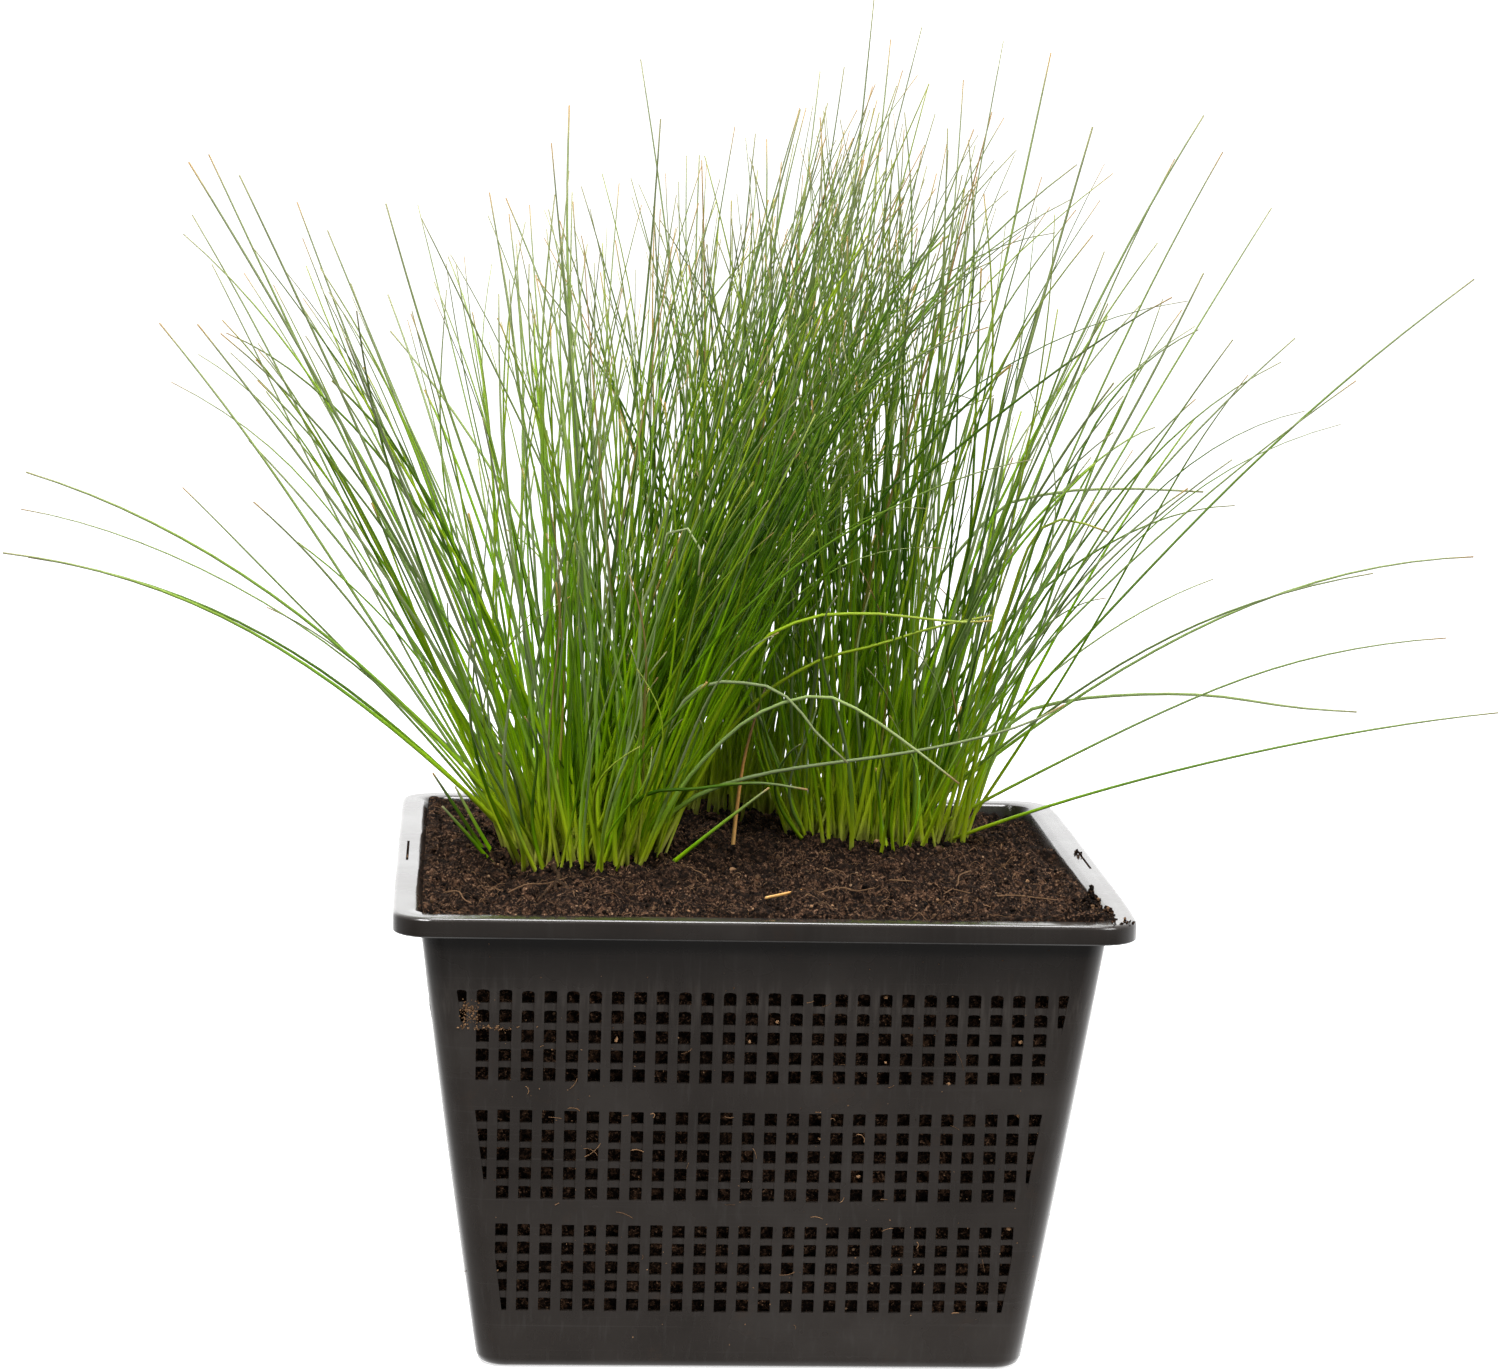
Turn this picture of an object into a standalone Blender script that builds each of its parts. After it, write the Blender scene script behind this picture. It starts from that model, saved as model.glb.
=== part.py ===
"""Potted fiber optic grass.

A square mesh pond basket, filled with peat, holds three clumps of fine arching grass.
Metres, +Z up. The origin is the centre of the basket's underside and the front faces -Y.
"""
import bpy
import bmesh
import math
import numpy as np

# Basket, driving dimensions
RIM_WIDTH = 0.280
BASKET_HEIGHT = 0.1836
SKIRT_HEIGHT = 0.0075
SKIRT_OVERHANG = 0.0104
WALL_SLOPE = math.radians(7.64)
WALL = 0.0025
RIM_CORNER = 0.014
BODY_CORNER = 0.0105
BASE_CORNER = 0.0075
BASE_FILLET = 0.004
LIP_ROUND = 0.0035
EDGE_ROUND = 0.0008
SKIRT_WALL = 0.0022
CORNER_STEPS = 4

# Mesh bands in the walls
COLUMN_PITCH = 0.00848
SLOT_WIDTH = 0.0048
ROW_PITCH = 0.0077
ROWS_PER_BAND = 5
HOLE_HEIGHT = 0.0052
BAND_TOP_ROWS = (0.1513, 0.1035, 0.0573)
BAND_COLUMNS = (26, 24, 22)

# Clip slots in the flange, one on each side
CLIP_LENGTH = 0.024
CLIP_WIDTH = 0.0028
CLIP_INSET = 0.0042

# Soil
FIT_GAP = 0.0003
SOIL_EDGE = BASKET_HEIGHT - 0.003
SOIL_SHOULDER = 0.004
SOIL_RISE = 0.005
SOIL_RINGS = 6
# Uneven top: the height of broad lumps and of smaller ridges, and a hollow at the right back
LUMP_HEIGHT = 0.0011
RIDGE_HEIGHT = 0.0007
HOLLOW_DEPTH = 0.005
HOLLOW_MIDDLE = (0.095, 0.095)
HOLLOW_SPREAD = 0.04

# Grass clumps: centre on the soil, and how the whole clump leans
CLUMPS = {
    "grass_front_left": {"centre": (-0.072, -0.012), "lean": (0.005, -0.010)},
    "grass_right": {"centre": (0.060, 0.042), "lean": (0.018, -0.004)},
    "grass_back": {"centre": (-0.010, 0.084), "lean": (0.005, 0.030)},
}
CROWN_RADIUS = 0.040
CROWN_SIDES = 12
# The crown from its foot up: how far inside the radius, and the height over the soil
CROWN_PROFILE = ((0.004, -0.012), (0.0, 0.001), (0.003, 0.005), (0.016, 0.0085))
ROOT_RISE = 0.003
LOCK_STEPS = 5
LOCK_SIDES = 4
LOCK_RADIUS = 0.0052
LOCK_TIP = 0.0009
LONG_STEPS = 6
LONG_SIDES = 3
LONG_RADIUS = 0.0024
LONG_TIP = 0.0008
DEPTH_SHARE = 0.85

# Locks of neighbouring clumps stay apart: a lock that comes too near is turned and shortened
CLEARANCE = 0.0025
TURN_TRIES = 24
TURN_STEP = math.radians(5)
SHORTEN_STEP = 0.02
FINE_POINTS = 90

# Rings of locks: number, root radius, reach, height over the soil, rise of the arch
LOCK_RINGS = (
    (4, 0.009, 0.032, 0.275, 0.006),
    (7, 0.020, 0.080, 0.255, 0.015),
    (8, 0.028, 0.135, 0.200, 0.034),
)

# Long single stems that reach past the locks: tip in metres, and the rise of the arch
LONG_STEMS = {
    "grass_front_left": (
        (-0.300, -0.020, 0.305, 0.048),
        (-0.295, 0.040, 0.315, 0.052),
        (-0.285, -0.060, 0.340, 0.046),
        (-0.230, 0.030, 0.325, 0.022),
        (-0.240, 0.020, 0.395, 0.015),
        (-0.225, -0.040, 0.460, 0.010),
        (-0.185, 0.030, 0.445, 0.010),
        (-0.145, -0.100, 0.445, 0.012),
        (-0.110, -0.190, 0.375, 0.036),
        (-0.010, -0.185, 0.390, 0.030),
    ),
    "grass_right": (
        (0.295, 0.020, 0.420, 0.022),
        (0.305, 0.040, 0.305, 0.055),
        (0.285, 0.000, 0.275, 0.036),
        (0.295, -0.050, 0.255, 0.018),
        (0.215, 0.050, 0.450, 0.020),
        (0.185, 0.060, 0.485, 0.040),
        (0.120, 0.040, 0.510, 0.015),
        (0.125, -0.060, 0.480, 0.010),
        (0.120, -0.160, 0.390, 0.030),
        (0.150, 0.210, 0.360, 0.036),
    ),
    "grass_back": (
        (0.050, 0.060, 0.530, 0.004),
        (-0.045, 0.140, 0.490, 0.008),
        (-0.150, 0.200, 0.380, 0.030),
        (-0.060, 0.245, 0.370, 0.036),
        (0.040, 0.250, 0.400, 0.026),
    ),
}
LONG_ROOT = 0.028

# Loose pieces on the soil
STALK_FOOT = (-0.006, -0.008)
STALK_LEAN = (0.012, 0.002)
STALK_HEIGHT = 0.068
STALK_RADIUS = 0.0007
STRAW_ENDS = ((0.002, -0.106), (0.016, -0.092))
STRAW_RADIUS = 0.0006
ROD_SIDES = 6
REST_GAP = 0.0008
STRAW_REST_GAP = 0.0012


def clear_scene():
    for old in list(bpy.data.objects):
        bpy.data.objects.remove(old, do_unlink=True)


def material(name, colour, roughness, metallic=0.0):
    made = bpy.data.materials.new(name)
    made.use_nodes = True
    shader = made.node_tree.nodes["Principled BSDF"]
    shader.inputs["Base Color"].default_value = (*colour, 1.0)
    shader.inputs["Roughness"].default_value = roughness
    shader.inputs["Metallic"].default_value = metallic
    return made


def add_object(name, mesh_maker, made_material=None, smooth_angle=35.0):
    """Put a bmesh into a named object, with its faces pointing out."""
    bmesh.ops.recalc_face_normals(mesh_maker, faces=mesh_maker.faces)
    mesh = bpy.data.meshes.new(name)
    mesh_maker.to_mesh(mesh)
    mesh_maker.free()
    placed = bpy.data.objects.new(name, mesh)
    bpy.context.scene.collection.objects.link(placed)
    if made_material is not None:
        mesh.materials.append(made_material)
    mesh.shade_smooth()
    mesh.set_sharp_from_angle(angle=math.radians(smooth_angle))
    return placed


def as_cutter(placed):
    placed.hide_render = True
    placed.display_type = "WIRE"
    return placed


def boolean(target, operation, other, touches_itself=False):
    cut = target.modifiers.new(operation.title(), "BOOLEAN")
    cut.operation = operation
    cut.solver = "EXACT"
    cut.object = other
    cut.use_self = touches_itself
    return cut


def rounded_square(half, radius, height):
    """One closed ring of points: a square with round corners, seen from above."""
    ring = []
    for quarter in range(4):
        turn = quarter * math.pi / 2
        middle = turn + math.pi / 4
        out = (half - radius) * math.sqrt(2)
        for step in range(CORNER_STEPS + 1):
            angle = turn + step * math.pi / 2 / CORNER_STEPS
            x = out * math.cos(middle) + radius * math.cos(angle)
            y = out * math.sin(middle) + radius * math.sin(angle)
            ring.append((x, y, height))
    return ring


def loft(mesh_maker, rings, close_first=True, close_last=True):
    """Join rings of equal length into a skin, and close its ends."""
    made = [[mesh_maker.verts.new(point) for point in ring] for ring in rings]
    for lower, upper in zip(made[:-1], made[1:]):
        for index in range(len(lower)):
            after = (index + 1) % len(lower)
            mesh_maker.faces.new((lower[index], lower[after], upper[after], upper[index]))
    if close_first:
        mesh_maker.faces.new(list(reversed(made[0])))
    if close_last:
        mesh_maker.faces.new(made[-1])
    return made


def box(mesh_maker, low, high):
    outline = ((low[0], low[1]), (high[0], low[1]), (high[0], high[1]), (low[0], high[1]))
    rings = [[(x, y, z) for x, y in outline] for z in (low[2], high[2])]
    loft(mesh_maker, rings)


def wall_half(height):
    """Half the outside width of the tapered wall at a height."""
    at_skirt = RIM_WIDTH / 2 - SKIRT_OVERHANG
    below_skirt = BASKET_HEIGHT - SKIRT_HEIGHT - height
    return at_skirt - math.tan(WALL_SLOPE) * below_skirt


def make_basket(plastic):
    """The moulding: base, tapered wall, flange, skirt and the hollow inside."""
    rim = RIM_WIDTH / 2
    top = BASKET_HEIGHT
    skirt_foot = top - SKIRT_HEIGHT
    flange_under = top - WALL
    inner_foot = wall_half(WALL) - WALL
    inner_lip = wall_half(top) - WALL
    profile = (
        (wall_half(0) - BASE_FILLET, BASE_CORNER, 0.0),
        (wall_half(0) - 0.3 * BASE_FILLET, BODY_CORNER, 0.3 * BASE_FILLET),
        (wall_half(BASE_FILLET), BODY_CORNER, BASE_FILLET),
        (wall_half(flange_under), BODY_CORNER, flange_under),
        (rim - SKIRT_WALL, RIM_CORNER - SKIRT_WALL, flange_under),
        (rim - SKIRT_WALL, RIM_CORNER - SKIRT_WALL, skirt_foot),
        (rim, RIM_CORNER, skirt_foot),
        (rim, RIM_CORNER, top - EDGE_ROUND),
        (rim - EDGE_ROUND, RIM_CORNER - EDGE_ROUND, top),
        (inner_lip + LIP_ROUND, BODY_CORNER, top),
        (inner_lip, BODY_CORNER - WALL, top - LIP_ROUND),
        (inner_foot, BODY_CORNER - WALL, WALL),
    )
    mesh_maker = bmesh.new()
    loft(mesh_maker, [rounded_square(*station) for station in profile])
    basket = add_object("basket", mesh_maker, plastic)
    for name, along_x in (("front_back_slots", False), ("side_slots", True)):
        boolean(basket, "DIFFERENCE", make_slots(name, along_x))
    boolean(basket, "DIFFERENCE", make_clip_slots())
    return basket


def make_slots(name, along_x):
    """Slots between the upright bars, cut through two facing walls at once."""
    reach = RIM_WIDTH
    mesh_maker = bmesh.new()
    for top_row, columns in zip(BAND_TOP_ROWS, BAND_COLUMNS):
        high = top_row + HOLE_HEIGHT / 2
        low = top_row - ROW_PITCH * (ROWS_PER_BAND - 1) - HOLE_HEIGHT / 2
        for column in range(columns):
            middle = (column - (columns - 1) / 2) * COLUMN_PITCH
            near = middle - SLOT_WIDTH / 2
            far = middle + SLOT_WIDTH / 2
            if along_x:
                box(mesh_maker, (-reach, near, low), (reach, far, high))
            else:
                box(mesh_maker, (near, -reach, low), (far, reach, high))
    return as_cutter(add_object(name, mesh_maker))


def make_clip_slots():
    """A narrow slot through the flange in the middle of the left and right sides."""
    mesh_maker = bmesh.new()
    for side in (-1, 1):
        middle = side * (RIM_WIDTH / 2 - CLIP_INSET)
        low = (middle - CLIP_WIDTH / 2, -CLIP_LENGTH / 2, BASKET_HEIGHT - 2 * WALL)
        high = (middle + CLIP_WIDTH / 2, CLIP_LENGTH / 2, BASKET_HEIGHT + WALL)
        box(mesh_maker, low, high)
    return as_cutter(add_object("clip_slots", mesh_maker))


def soil_height(x, y):
    """The top of the soil: nearly level, a little higher in the middle, lower at the right back."""
    half = RIM_WIDTH / 2
    mound = SOIL_RISE * max(0.0, 1 - (x * x + y * y) / (half * half))
    lumps = LUMP_HEIGHT * math.sin(71 * x + 1.0) * math.cos(63 * y)
    ridges = RIDGE_HEIGHT * math.sin(150 * x - 120 * y)
    from_hollow = math.hypot(x - HOLLOW_MIDDLE[0], y - HOLLOW_MIDDLE[1])
    hollow = HOLLOW_DEPTH * math.exp(-((from_hollow / HOLLOW_SPREAD) ** 2))
    return SOIL_EDGE + mound + lumps + ridges - hollow


def make_soil(peat):
    """Peat inside the basket, with a pocket for each crown."""
    foot = WALL + FIT_GAP
    half_foot = wall_half(foot) - WALL - 2 * FIT_GAP
    corner = BODY_CORNER - WALL
    shoulder = SOIL_EDGE - SOIL_SHOULDER
    half_shoulder = wall_half(shoulder) - WALL - 2 * FIT_GAP
    rings = [rounded_square(half_foot, corner, foot)]
    edge = rounded_square(half_shoulder, corner, shoulder)
    rings.append(edge)
    for ring in range(SOIL_RINGS):
        share = 1.0 - ring / SOIL_RINGS
        points = []
        for x, y, _ in edge:
            points.append((x * share, y * share, soil_height(x * share, y * share)))
        rings.append(points)
    mesh_maker = bmesh.new()
    loft(mesh_maker, rings)
    soil = add_object("soil", mesh_maker, peat)
    pockets = bmesh.new()
    for clump in CLUMPS.values():
        loft(pockets, crown_rings(clump["centre"], FIT_GAP))
    boolean(soil, "DIFFERENCE", as_cutter(add_object("crown_pockets", pockets)))
    return soil


def crown_rings(centre, extra):
    """The low round crown of a clump, or the slightly larger pocket that it sits in."""
    level = soil_height(*centre)
    first, *_, last = CROWN_PROFILE
    rings = []
    for station in CROWN_PROFILE:
        inset, height = station
        radius = CROWN_RADIUS - inset
        height += level
        if station == first:
            height -= extra
        if station == last:
            height += extra
        ring = []
        for index in range(CROWN_SIDES):
            angle = 2 * math.pi * index / CROWN_SIDES
            x = centre[0] + (radius + extra) * math.cos(angle)
            y = centre[1] + (radius + extra) * math.sin(angle)
            ring.append((x, y, height))
        rings.append(ring)
    return rings


def arch(root, tip, rise, steps):
    """Points from root to tip: the straight line plus a rise that is largest at 0.4 of the way."""
    share = np.linspace(0, 1, steps + 1)[:, None]
    root = np.array(root)
    line = root + (np.array(tip) - root) * share
    bow = share * (1 - share) ** 1.5 / (0.4 * 0.6 ** 1.5)
    return line + np.array((0, 0, 1)) * rise * bow


def ring_lock(clump, root_radius, reach, height, rise, angle):
    """Root and tip of one lock that leans out from the clump's centre at an angle."""
    x, y = clump["centre"]
    direction = np.array((math.cos(angle), math.sin(angle)))
    root = np.array((x, y)) + root_radius * direction
    tip = root + reach * direction * np.array((1.0, DEPTH_SHARE)) + np.array(clump["lean"])
    level = soil_height(x, y)
    return arch((*root, level + ROOT_RISE), (*tip, level + height), rise, LOCK_STEPS)


def is_clear(path, radius, others):
    """Whether a path keeps its distance from every path of the other clumps."""
    fine = refine(path)
    for other, other_radius in others:
        gaps = np.linalg.norm(fine[:, None] - other[None], axis=2)
        if gaps.min() < radius + other_radius + CLEARANCE:
            return False
    return True


def refine(path):
    """The same path read at many more points."""
    old = np.linspace(0, 1, len(path))
    new = np.linspace(0, 1, FINE_POINTS)
    return np.column_stack([np.interp(new, old, path[:, axis]) for axis in range(3)])


def plan_long_stems():
    """The long stems of every clump, each a path with its radii and number of sides."""
    plan = {name: [] for name in CLUMPS}
    for name, stems in LONG_STEMS.items():
        x, y = CLUMPS[name]["centre"]
        for tip_x, tip_y, tip_z, rise in stems:
            way = np.array((tip_x - x, tip_y - y))
            root = np.array((x, y)) + LONG_ROOT * way / np.linalg.norm(way)
            level = soil_height(x, y) + ROOT_RISE
            path = arch((*root, level), (tip_x, tip_y, tip_z), rise, LONG_STEPS)
            plan[name].append((path, LONG_RADIUS, LONG_TIP, LONG_SIDES))
    return plan


def plan_locks():
    """Every lock of every clump, each turned until it clears the other clumps."""
    rng = np.random.default_rng(7)
    plan = plan_long_stems()
    for name, clump in CLUMPS.items():
        others = [(refine(path), radius) for other, locks in plan.items() if other != name
                  for path, radius, _, _ in locks]
        for count, root_radius, reach, height, rise in LOCK_RINGS:
            first = rng.uniform(0, 2 * math.pi)
            for index in range(count):
                angle = first + 2 * math.pi * index / count
                own_reach = reach * rng.uniform(0.8, 1.2)
                own_height = height * rng.uniform(0.86, 1.06)
                path = turn_until_clear(clump, root_radius, own_reach, own_height, rise, angle, others)
                if path is not None:
                    plan[name].append((path, LOCK_RADIUS, LOCK_TIP, LOCK_SIDES))
    return plan


def turn_until_clear(clump, root_radius, reach, height, rise, angle, others):
    """A lock as planned, or else turned to either side and shortened; None if nothing is clear."""
    for attempt in range(TURN_TRIES):
        swing = TURN_STEP * (attempt // 2 + 1) * (-1) ** attempt
        shorter = 1 - SHORTEN_STEP * attempt
        tried = angle + (0 if attempt == 0 else swing)
        path = ring_lock(clump, root_radius, reach * shorter, height, rise, tried)
        if is_clear(path, LOCK_RADIUS, others):
            return path
    return None


def add_lock(mesh_maker, path, radius, tip_radius, sides):
    """A tapered lock with a few flat sides and a pointed tip."""
    along = np.gradient(path, axis=0)
    along /= np.linalg.norm(along, axis=1)[:, None]
    side = np.cross(along, (0.0, 0.0, 1.0) if abs(along[0, 2]) < 0.9 else (0.0, 1.0, 0.0))
    side /= np.linalg.norm(side, axis=1)[:, None]
    over = np.cross(side, along)
    rings = []
    for step in range(len(path) - 1):
        share = step / (len(path) - 1)
        size = radius * (1 - share) ** 0.7 + tip_radius * share
        ring = []
        for corner in range(sides):
            angle = 2 * math.pi * corner / sides
            offset = math.cos(angle) * side[step] + math.sin(angle) * over[step]
            ring.append(path[step] + size * offset)
        rings.append(ring)
    made = loft(mesh_maker, rings, close_last=False)
    point = mesh_maker.verts.new(path[-1])
    last = made[-1]
    for index in range(sides):
        mesh_maker.faces.new((last[index], last[(index + 1) % sides], point))


def make_clump(name, locks, green):
    """One plant: its crown, with all its locks grown into it."""
    mesh_maker = bmesh.new()
    loft(mesh_maker, crown_rings(CLUMPS[name]["centre"], 0.0))
    clump = add_object(name, mesh_maker, green, smooth_angle=60.0)
    grown = bmesh.new()
    for lock in locks:
        add_lock(grown, *lock)
    locks_object = as_cutter(add_object(name + "_locks", grown, green))
    boolean(clump, "UNION", locks_object, touches_itself=True)
    return clump


def make_rod(name, start, end, radius, straw):
    """A thin straight stalk."""
    path = np.linspace(np.array(start), np.array(end), 2)
    along = path[1] - path[0]
    along /= np.linalg.norm(along)
    side = np.cross(along, (0.0, 1.0, 0.0))
    side /= np.linalg.norm(side)
    over = np.cross(along, side)
    rings = []
    for point in path:
        ring = []
        for corner in range(ROD_SIDES):
            angle = 2 * math.pi * corner / ROD_SIDES
            ring.append(point + radius * (math.cos(angle) * side + math.sin(angle) * over))
        rings.append(ring)
    mesh_maker = bmesh.new()
    loft(mesh_maker, rings)
    return add_object(name, mesh_maker, straw)


def make_loose_pieces():
    straw = material("dry_straw", (0.62, 0.33, 0.10), 0.6)
    x, y = STALK_FOOT
    foot = (x, y, soil_height(x, y) + REST_GAP)
    head = (x + STALK_LEAN[0], y + STALK_LEAN[1], foot[2] + STALK_HEIGHT)
    make_rod("dry_stalk", foot, head, STALK_RADIUS, straw)
    ends = []
    for x, y in STRAW_ENDS:
        ends.append((x, y, soil_height(x, y) + STRAW_RADIUS + STRAW_REST_GAP))
    make_rod("loose_straw", ends[0], ends[1], STRAW_RADIUS, straw)


def main():
    clear_scene()
    make_basket(material("basket_plastic", (0.045, 0.041, 0.038), 0.45))
    make_soil(material("peat", (0.035, 0.020, 0.012), 0.95))
    green = material("grass_green", (0.10, 0.25, 0.03), 0.5)
    for name, locks in plan_locks().items():
        make_clump(name, locks, green)
    make_loose_pieces()


main()
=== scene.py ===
# %% [markdown]
# # Potted fiber optic grass
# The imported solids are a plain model: a basket, its soil, three clumps of locks and two dry
# straws. This lesson gives each of them the surface that the eye expects. Every piece is a
# surface worked out with numpy as whole arrays, and stays where its solid is.

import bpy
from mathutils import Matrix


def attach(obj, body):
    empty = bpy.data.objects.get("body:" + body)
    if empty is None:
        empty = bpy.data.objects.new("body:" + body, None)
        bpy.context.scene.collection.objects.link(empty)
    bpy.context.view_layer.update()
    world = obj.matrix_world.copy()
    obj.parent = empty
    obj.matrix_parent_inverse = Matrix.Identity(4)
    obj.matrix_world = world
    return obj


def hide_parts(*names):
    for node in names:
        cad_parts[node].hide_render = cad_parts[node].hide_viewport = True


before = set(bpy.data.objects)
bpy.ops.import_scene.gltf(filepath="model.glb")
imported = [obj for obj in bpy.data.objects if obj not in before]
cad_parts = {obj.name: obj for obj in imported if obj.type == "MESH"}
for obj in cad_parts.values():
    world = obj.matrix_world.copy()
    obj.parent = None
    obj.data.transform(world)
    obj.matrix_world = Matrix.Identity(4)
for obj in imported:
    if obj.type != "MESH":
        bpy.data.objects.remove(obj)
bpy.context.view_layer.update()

# %% Libraries
import math

import bmesh
import bpy
import numpy as np
from mathutils import Matrix, Vector

# %% [markdown]
# ## Camera
# A photograph is repeated best by a camera with the same place, tilt and lens. They were found
# by fitting the corners of the basket's rim and base. A small roll is left from the hand that
# held the camera. The turns of its matrix are read from right to left: roll, tilt, then azimuth.

# %% Camera
CAMERA_PLACE = Vector((-0.1157, -1.7502, 0.5071))
CAMERA_AZIMUTH = math.radians(-3.79)
CAMERA_DOWN = math.radians(8.25)
CAMERA_ROLL = math.radians(1.44)
SENSOR = 36.0
FOCAL_IN_PIXELS = 4386.0
PHOTO_WIDTH = 1500

camera = bpy.data.objects.new("camera", bpy.data.cameras.new("camera"))
bpy.context.scene.collection.objects.link(camera)
camera.data.sensor_width = SENSOR
camera.data.lens = FOCAL_IN_PIXELS / PHOTO_WIDTH * SENSOR
camera.data.clip_start = 0.05
camera.matrix_world = (
    Matrix.Translation(CAMERA_PLACE) @ Matrix.Rotation(CAMERA_AZIMUTH, 4, "Z")
    @ Matrix.Rotation(math.pi / 2 - CAMERA_DOWN, 4, "X") @ Matrix.Rotation(CAMERA_ROLL, 4, "Z"))
bpy.context.scene.camera = camera
print("lens in mm:", round(camera.data.lens, 1))

# %% [markdown]
# ## Putting arrays into meshes
# Blender keeps a mesh as long flat lists. `foreach_set` copies a numpy array into such a list in
# one step, which is far faster than adding corners one by one. Every piece below goes through
# this one function: it also lets the piece ride on the body and gives it its finish.

# %% Mesh helpers
def add_piece(name, points, face_sets, finish, values=None, turn_out=False):
    """One named mesh: corner numbers come in arrays of shape (faces, corners of a face).

    `values` holds named numbers, one for each point, which a finish can read.
    """
    mesh = bpy.data.meshes.new(name)
    mesh.vertices.add(len(points))
    mesh.vertices.foreach_set("co", np.asarray(points, dtype=np.float32).ravel())
    corners = np.concatenate([faces.ravel() for faces in face_sets])
    sizes = np.concatenate([np.full(len(faces), faces.shape[1]) for faces in face_sets])
    mesh.loops.add(len(corners))
    mesh.loops.foreach_set("vertex_index", corners.astype(np.int32))
    mesh.polygons.add(len(sizes))
    starts = np.concatenate([[0], np.cumsum(sizes)[:-1]])
    mesh.polygons.foreach_set("loop_start", starts.astype(np.int32))
    mesh.update(calc_edges=True)
    mesh.validate()
    for title, numbers in (values or {}).items():
        layer = mesh.attributes.new(title, "FLOAT", "POINT")
        layer.data.foreach_set("value", np.asarray(numbers, dtype=np.float32).ravel())
    if turn_out:
        shell = bmesh.new()
        shell.from_mesh(mesh)
        bmesh.ops.recalc_face_normals(shell, faces=shell.faces)
        shell.to_mesh(mesh)
        shell.free()
    mesh.shade_smooth()
    mesh.materials.append(finish.owner)
    piece = bpy.data.objects.new(name, mesh)
    bpy.context.scene.collection.objects.link(piece)
    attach(piece, "root")
    triangles = int((sizes - 2).sum())
    print(f"{name}: {len(points)} points, {triangles} triangles")
    return piece


def grid_cells(rows, columns, round_about=False):
    """Corner numbers of each cell of a grid whose points are numbered row by row."""
    row, column = np.meshgrid(
        np.arange(rows - 1), np.arange(columns if round_about else columns - 1), indexing="ij")
    after = (column + 1) % columns
    low, high = row * columns, (row + 1) * columns
    return np.stack([low + column, low + after, high + after, high + column], axis=-1)


def fan(loop, middle, facing_down=False):
    """Triangles that close a loop of point numbers with one point in its middle."""
    after = np.roll(loop, -1)
    first, second = (after, loop) if facing_down else (loop, after)
    return np.stack([first, second, np.full(len(loop), middle)], axis=-1)

# %% [markdown]
# ## Repeatable chance
# Peat is made of lumps of every size. A field of lumps can be written as a formula: cut space
# into cubes, give each cube one point at a place found by mixing the cube's numbers, and read how
# near the closest point is. The same place always gives the same lump, so nothing has to be kept.

# %% Lump field
def chance(cell, seed):
    """A number from 0 to 1 for each whole-number cell (n, 3), found by mixing its bits."""
    mixed = (cell[..., 0] * 73856093) ^ (cell[..., 1] * 19349663) ^ (cell[..., 2] * 83492791)
    mixed = mixed ^ (seed * 40503 + 977)
    mixed = ((mixed ^ (mixed >> 13)) * 60493) & 0x7FFFFFFF
    mixed = ((mixed ^ (mixed >> 11)) * 28657) & 0x7FFFFFFF
    return ((mixed ^ (mixed >> 15)) & 0xFFFF) / 65535.0


def lumps(points, size, seed):
    """Rounded lumps: 1 at a lump's middle, falling with the distance to it in cells, never under 0."""
    scaled = np.asarray(points) / size
    home = np.floor(scaled).astype(np.int64)
    nearest = np.full(len(scaled), 9.0)
    for step in np.ndindex(3, 3, 3):
        cell = home + np.array(step) - 1
        middle = cell + np.stack([chance(cell, seed + axis) for axis in range(3)], axis=-1)
        nearest = np.minimum(nearest, np.linalg.norm(scaled - middle, axis=1))
    return np.clip(1.0 - nearest ** 2, 0.0, 1.0)


def ripple(points, size, seed):
    """Soft hills and dips from -1 to 1: corner values of cubes, blended across each cube."""
    scaled = np.asarray(points) / size
    home = np.floor(scaled).astype(np.int64)
    share = scaled - home
    share = share * share * (3 - 2 * share)
    total = np.zeros(len(scaled))
    for step in np.ndindex(2, 2, 2):
        corner = np.array(step)
        weight = np.prod(np.where(corner == 1, share, 1 - share), axis=1)
        total += weight * chance(home + corner, seed)
    return 2 * total - 1


def shaken(points, reach, size, seed):
    """The points moved along each axis by reach times a ripple of that axis."""
    return points + reach * np.stack([ripple(points, size, seed + axis) for axis in range(3)], axis=-1)

# %% [markdown]
# ## Writing finishes
# A finish is a graph of small nodes that ends in one shader. We keep each graph in an object whose
# short methods add one node each and join its inputs, so that a finish reads like a recipe.
# All patterns read Object coordinates, in metres, or a number kept on the piece's own points.

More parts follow.
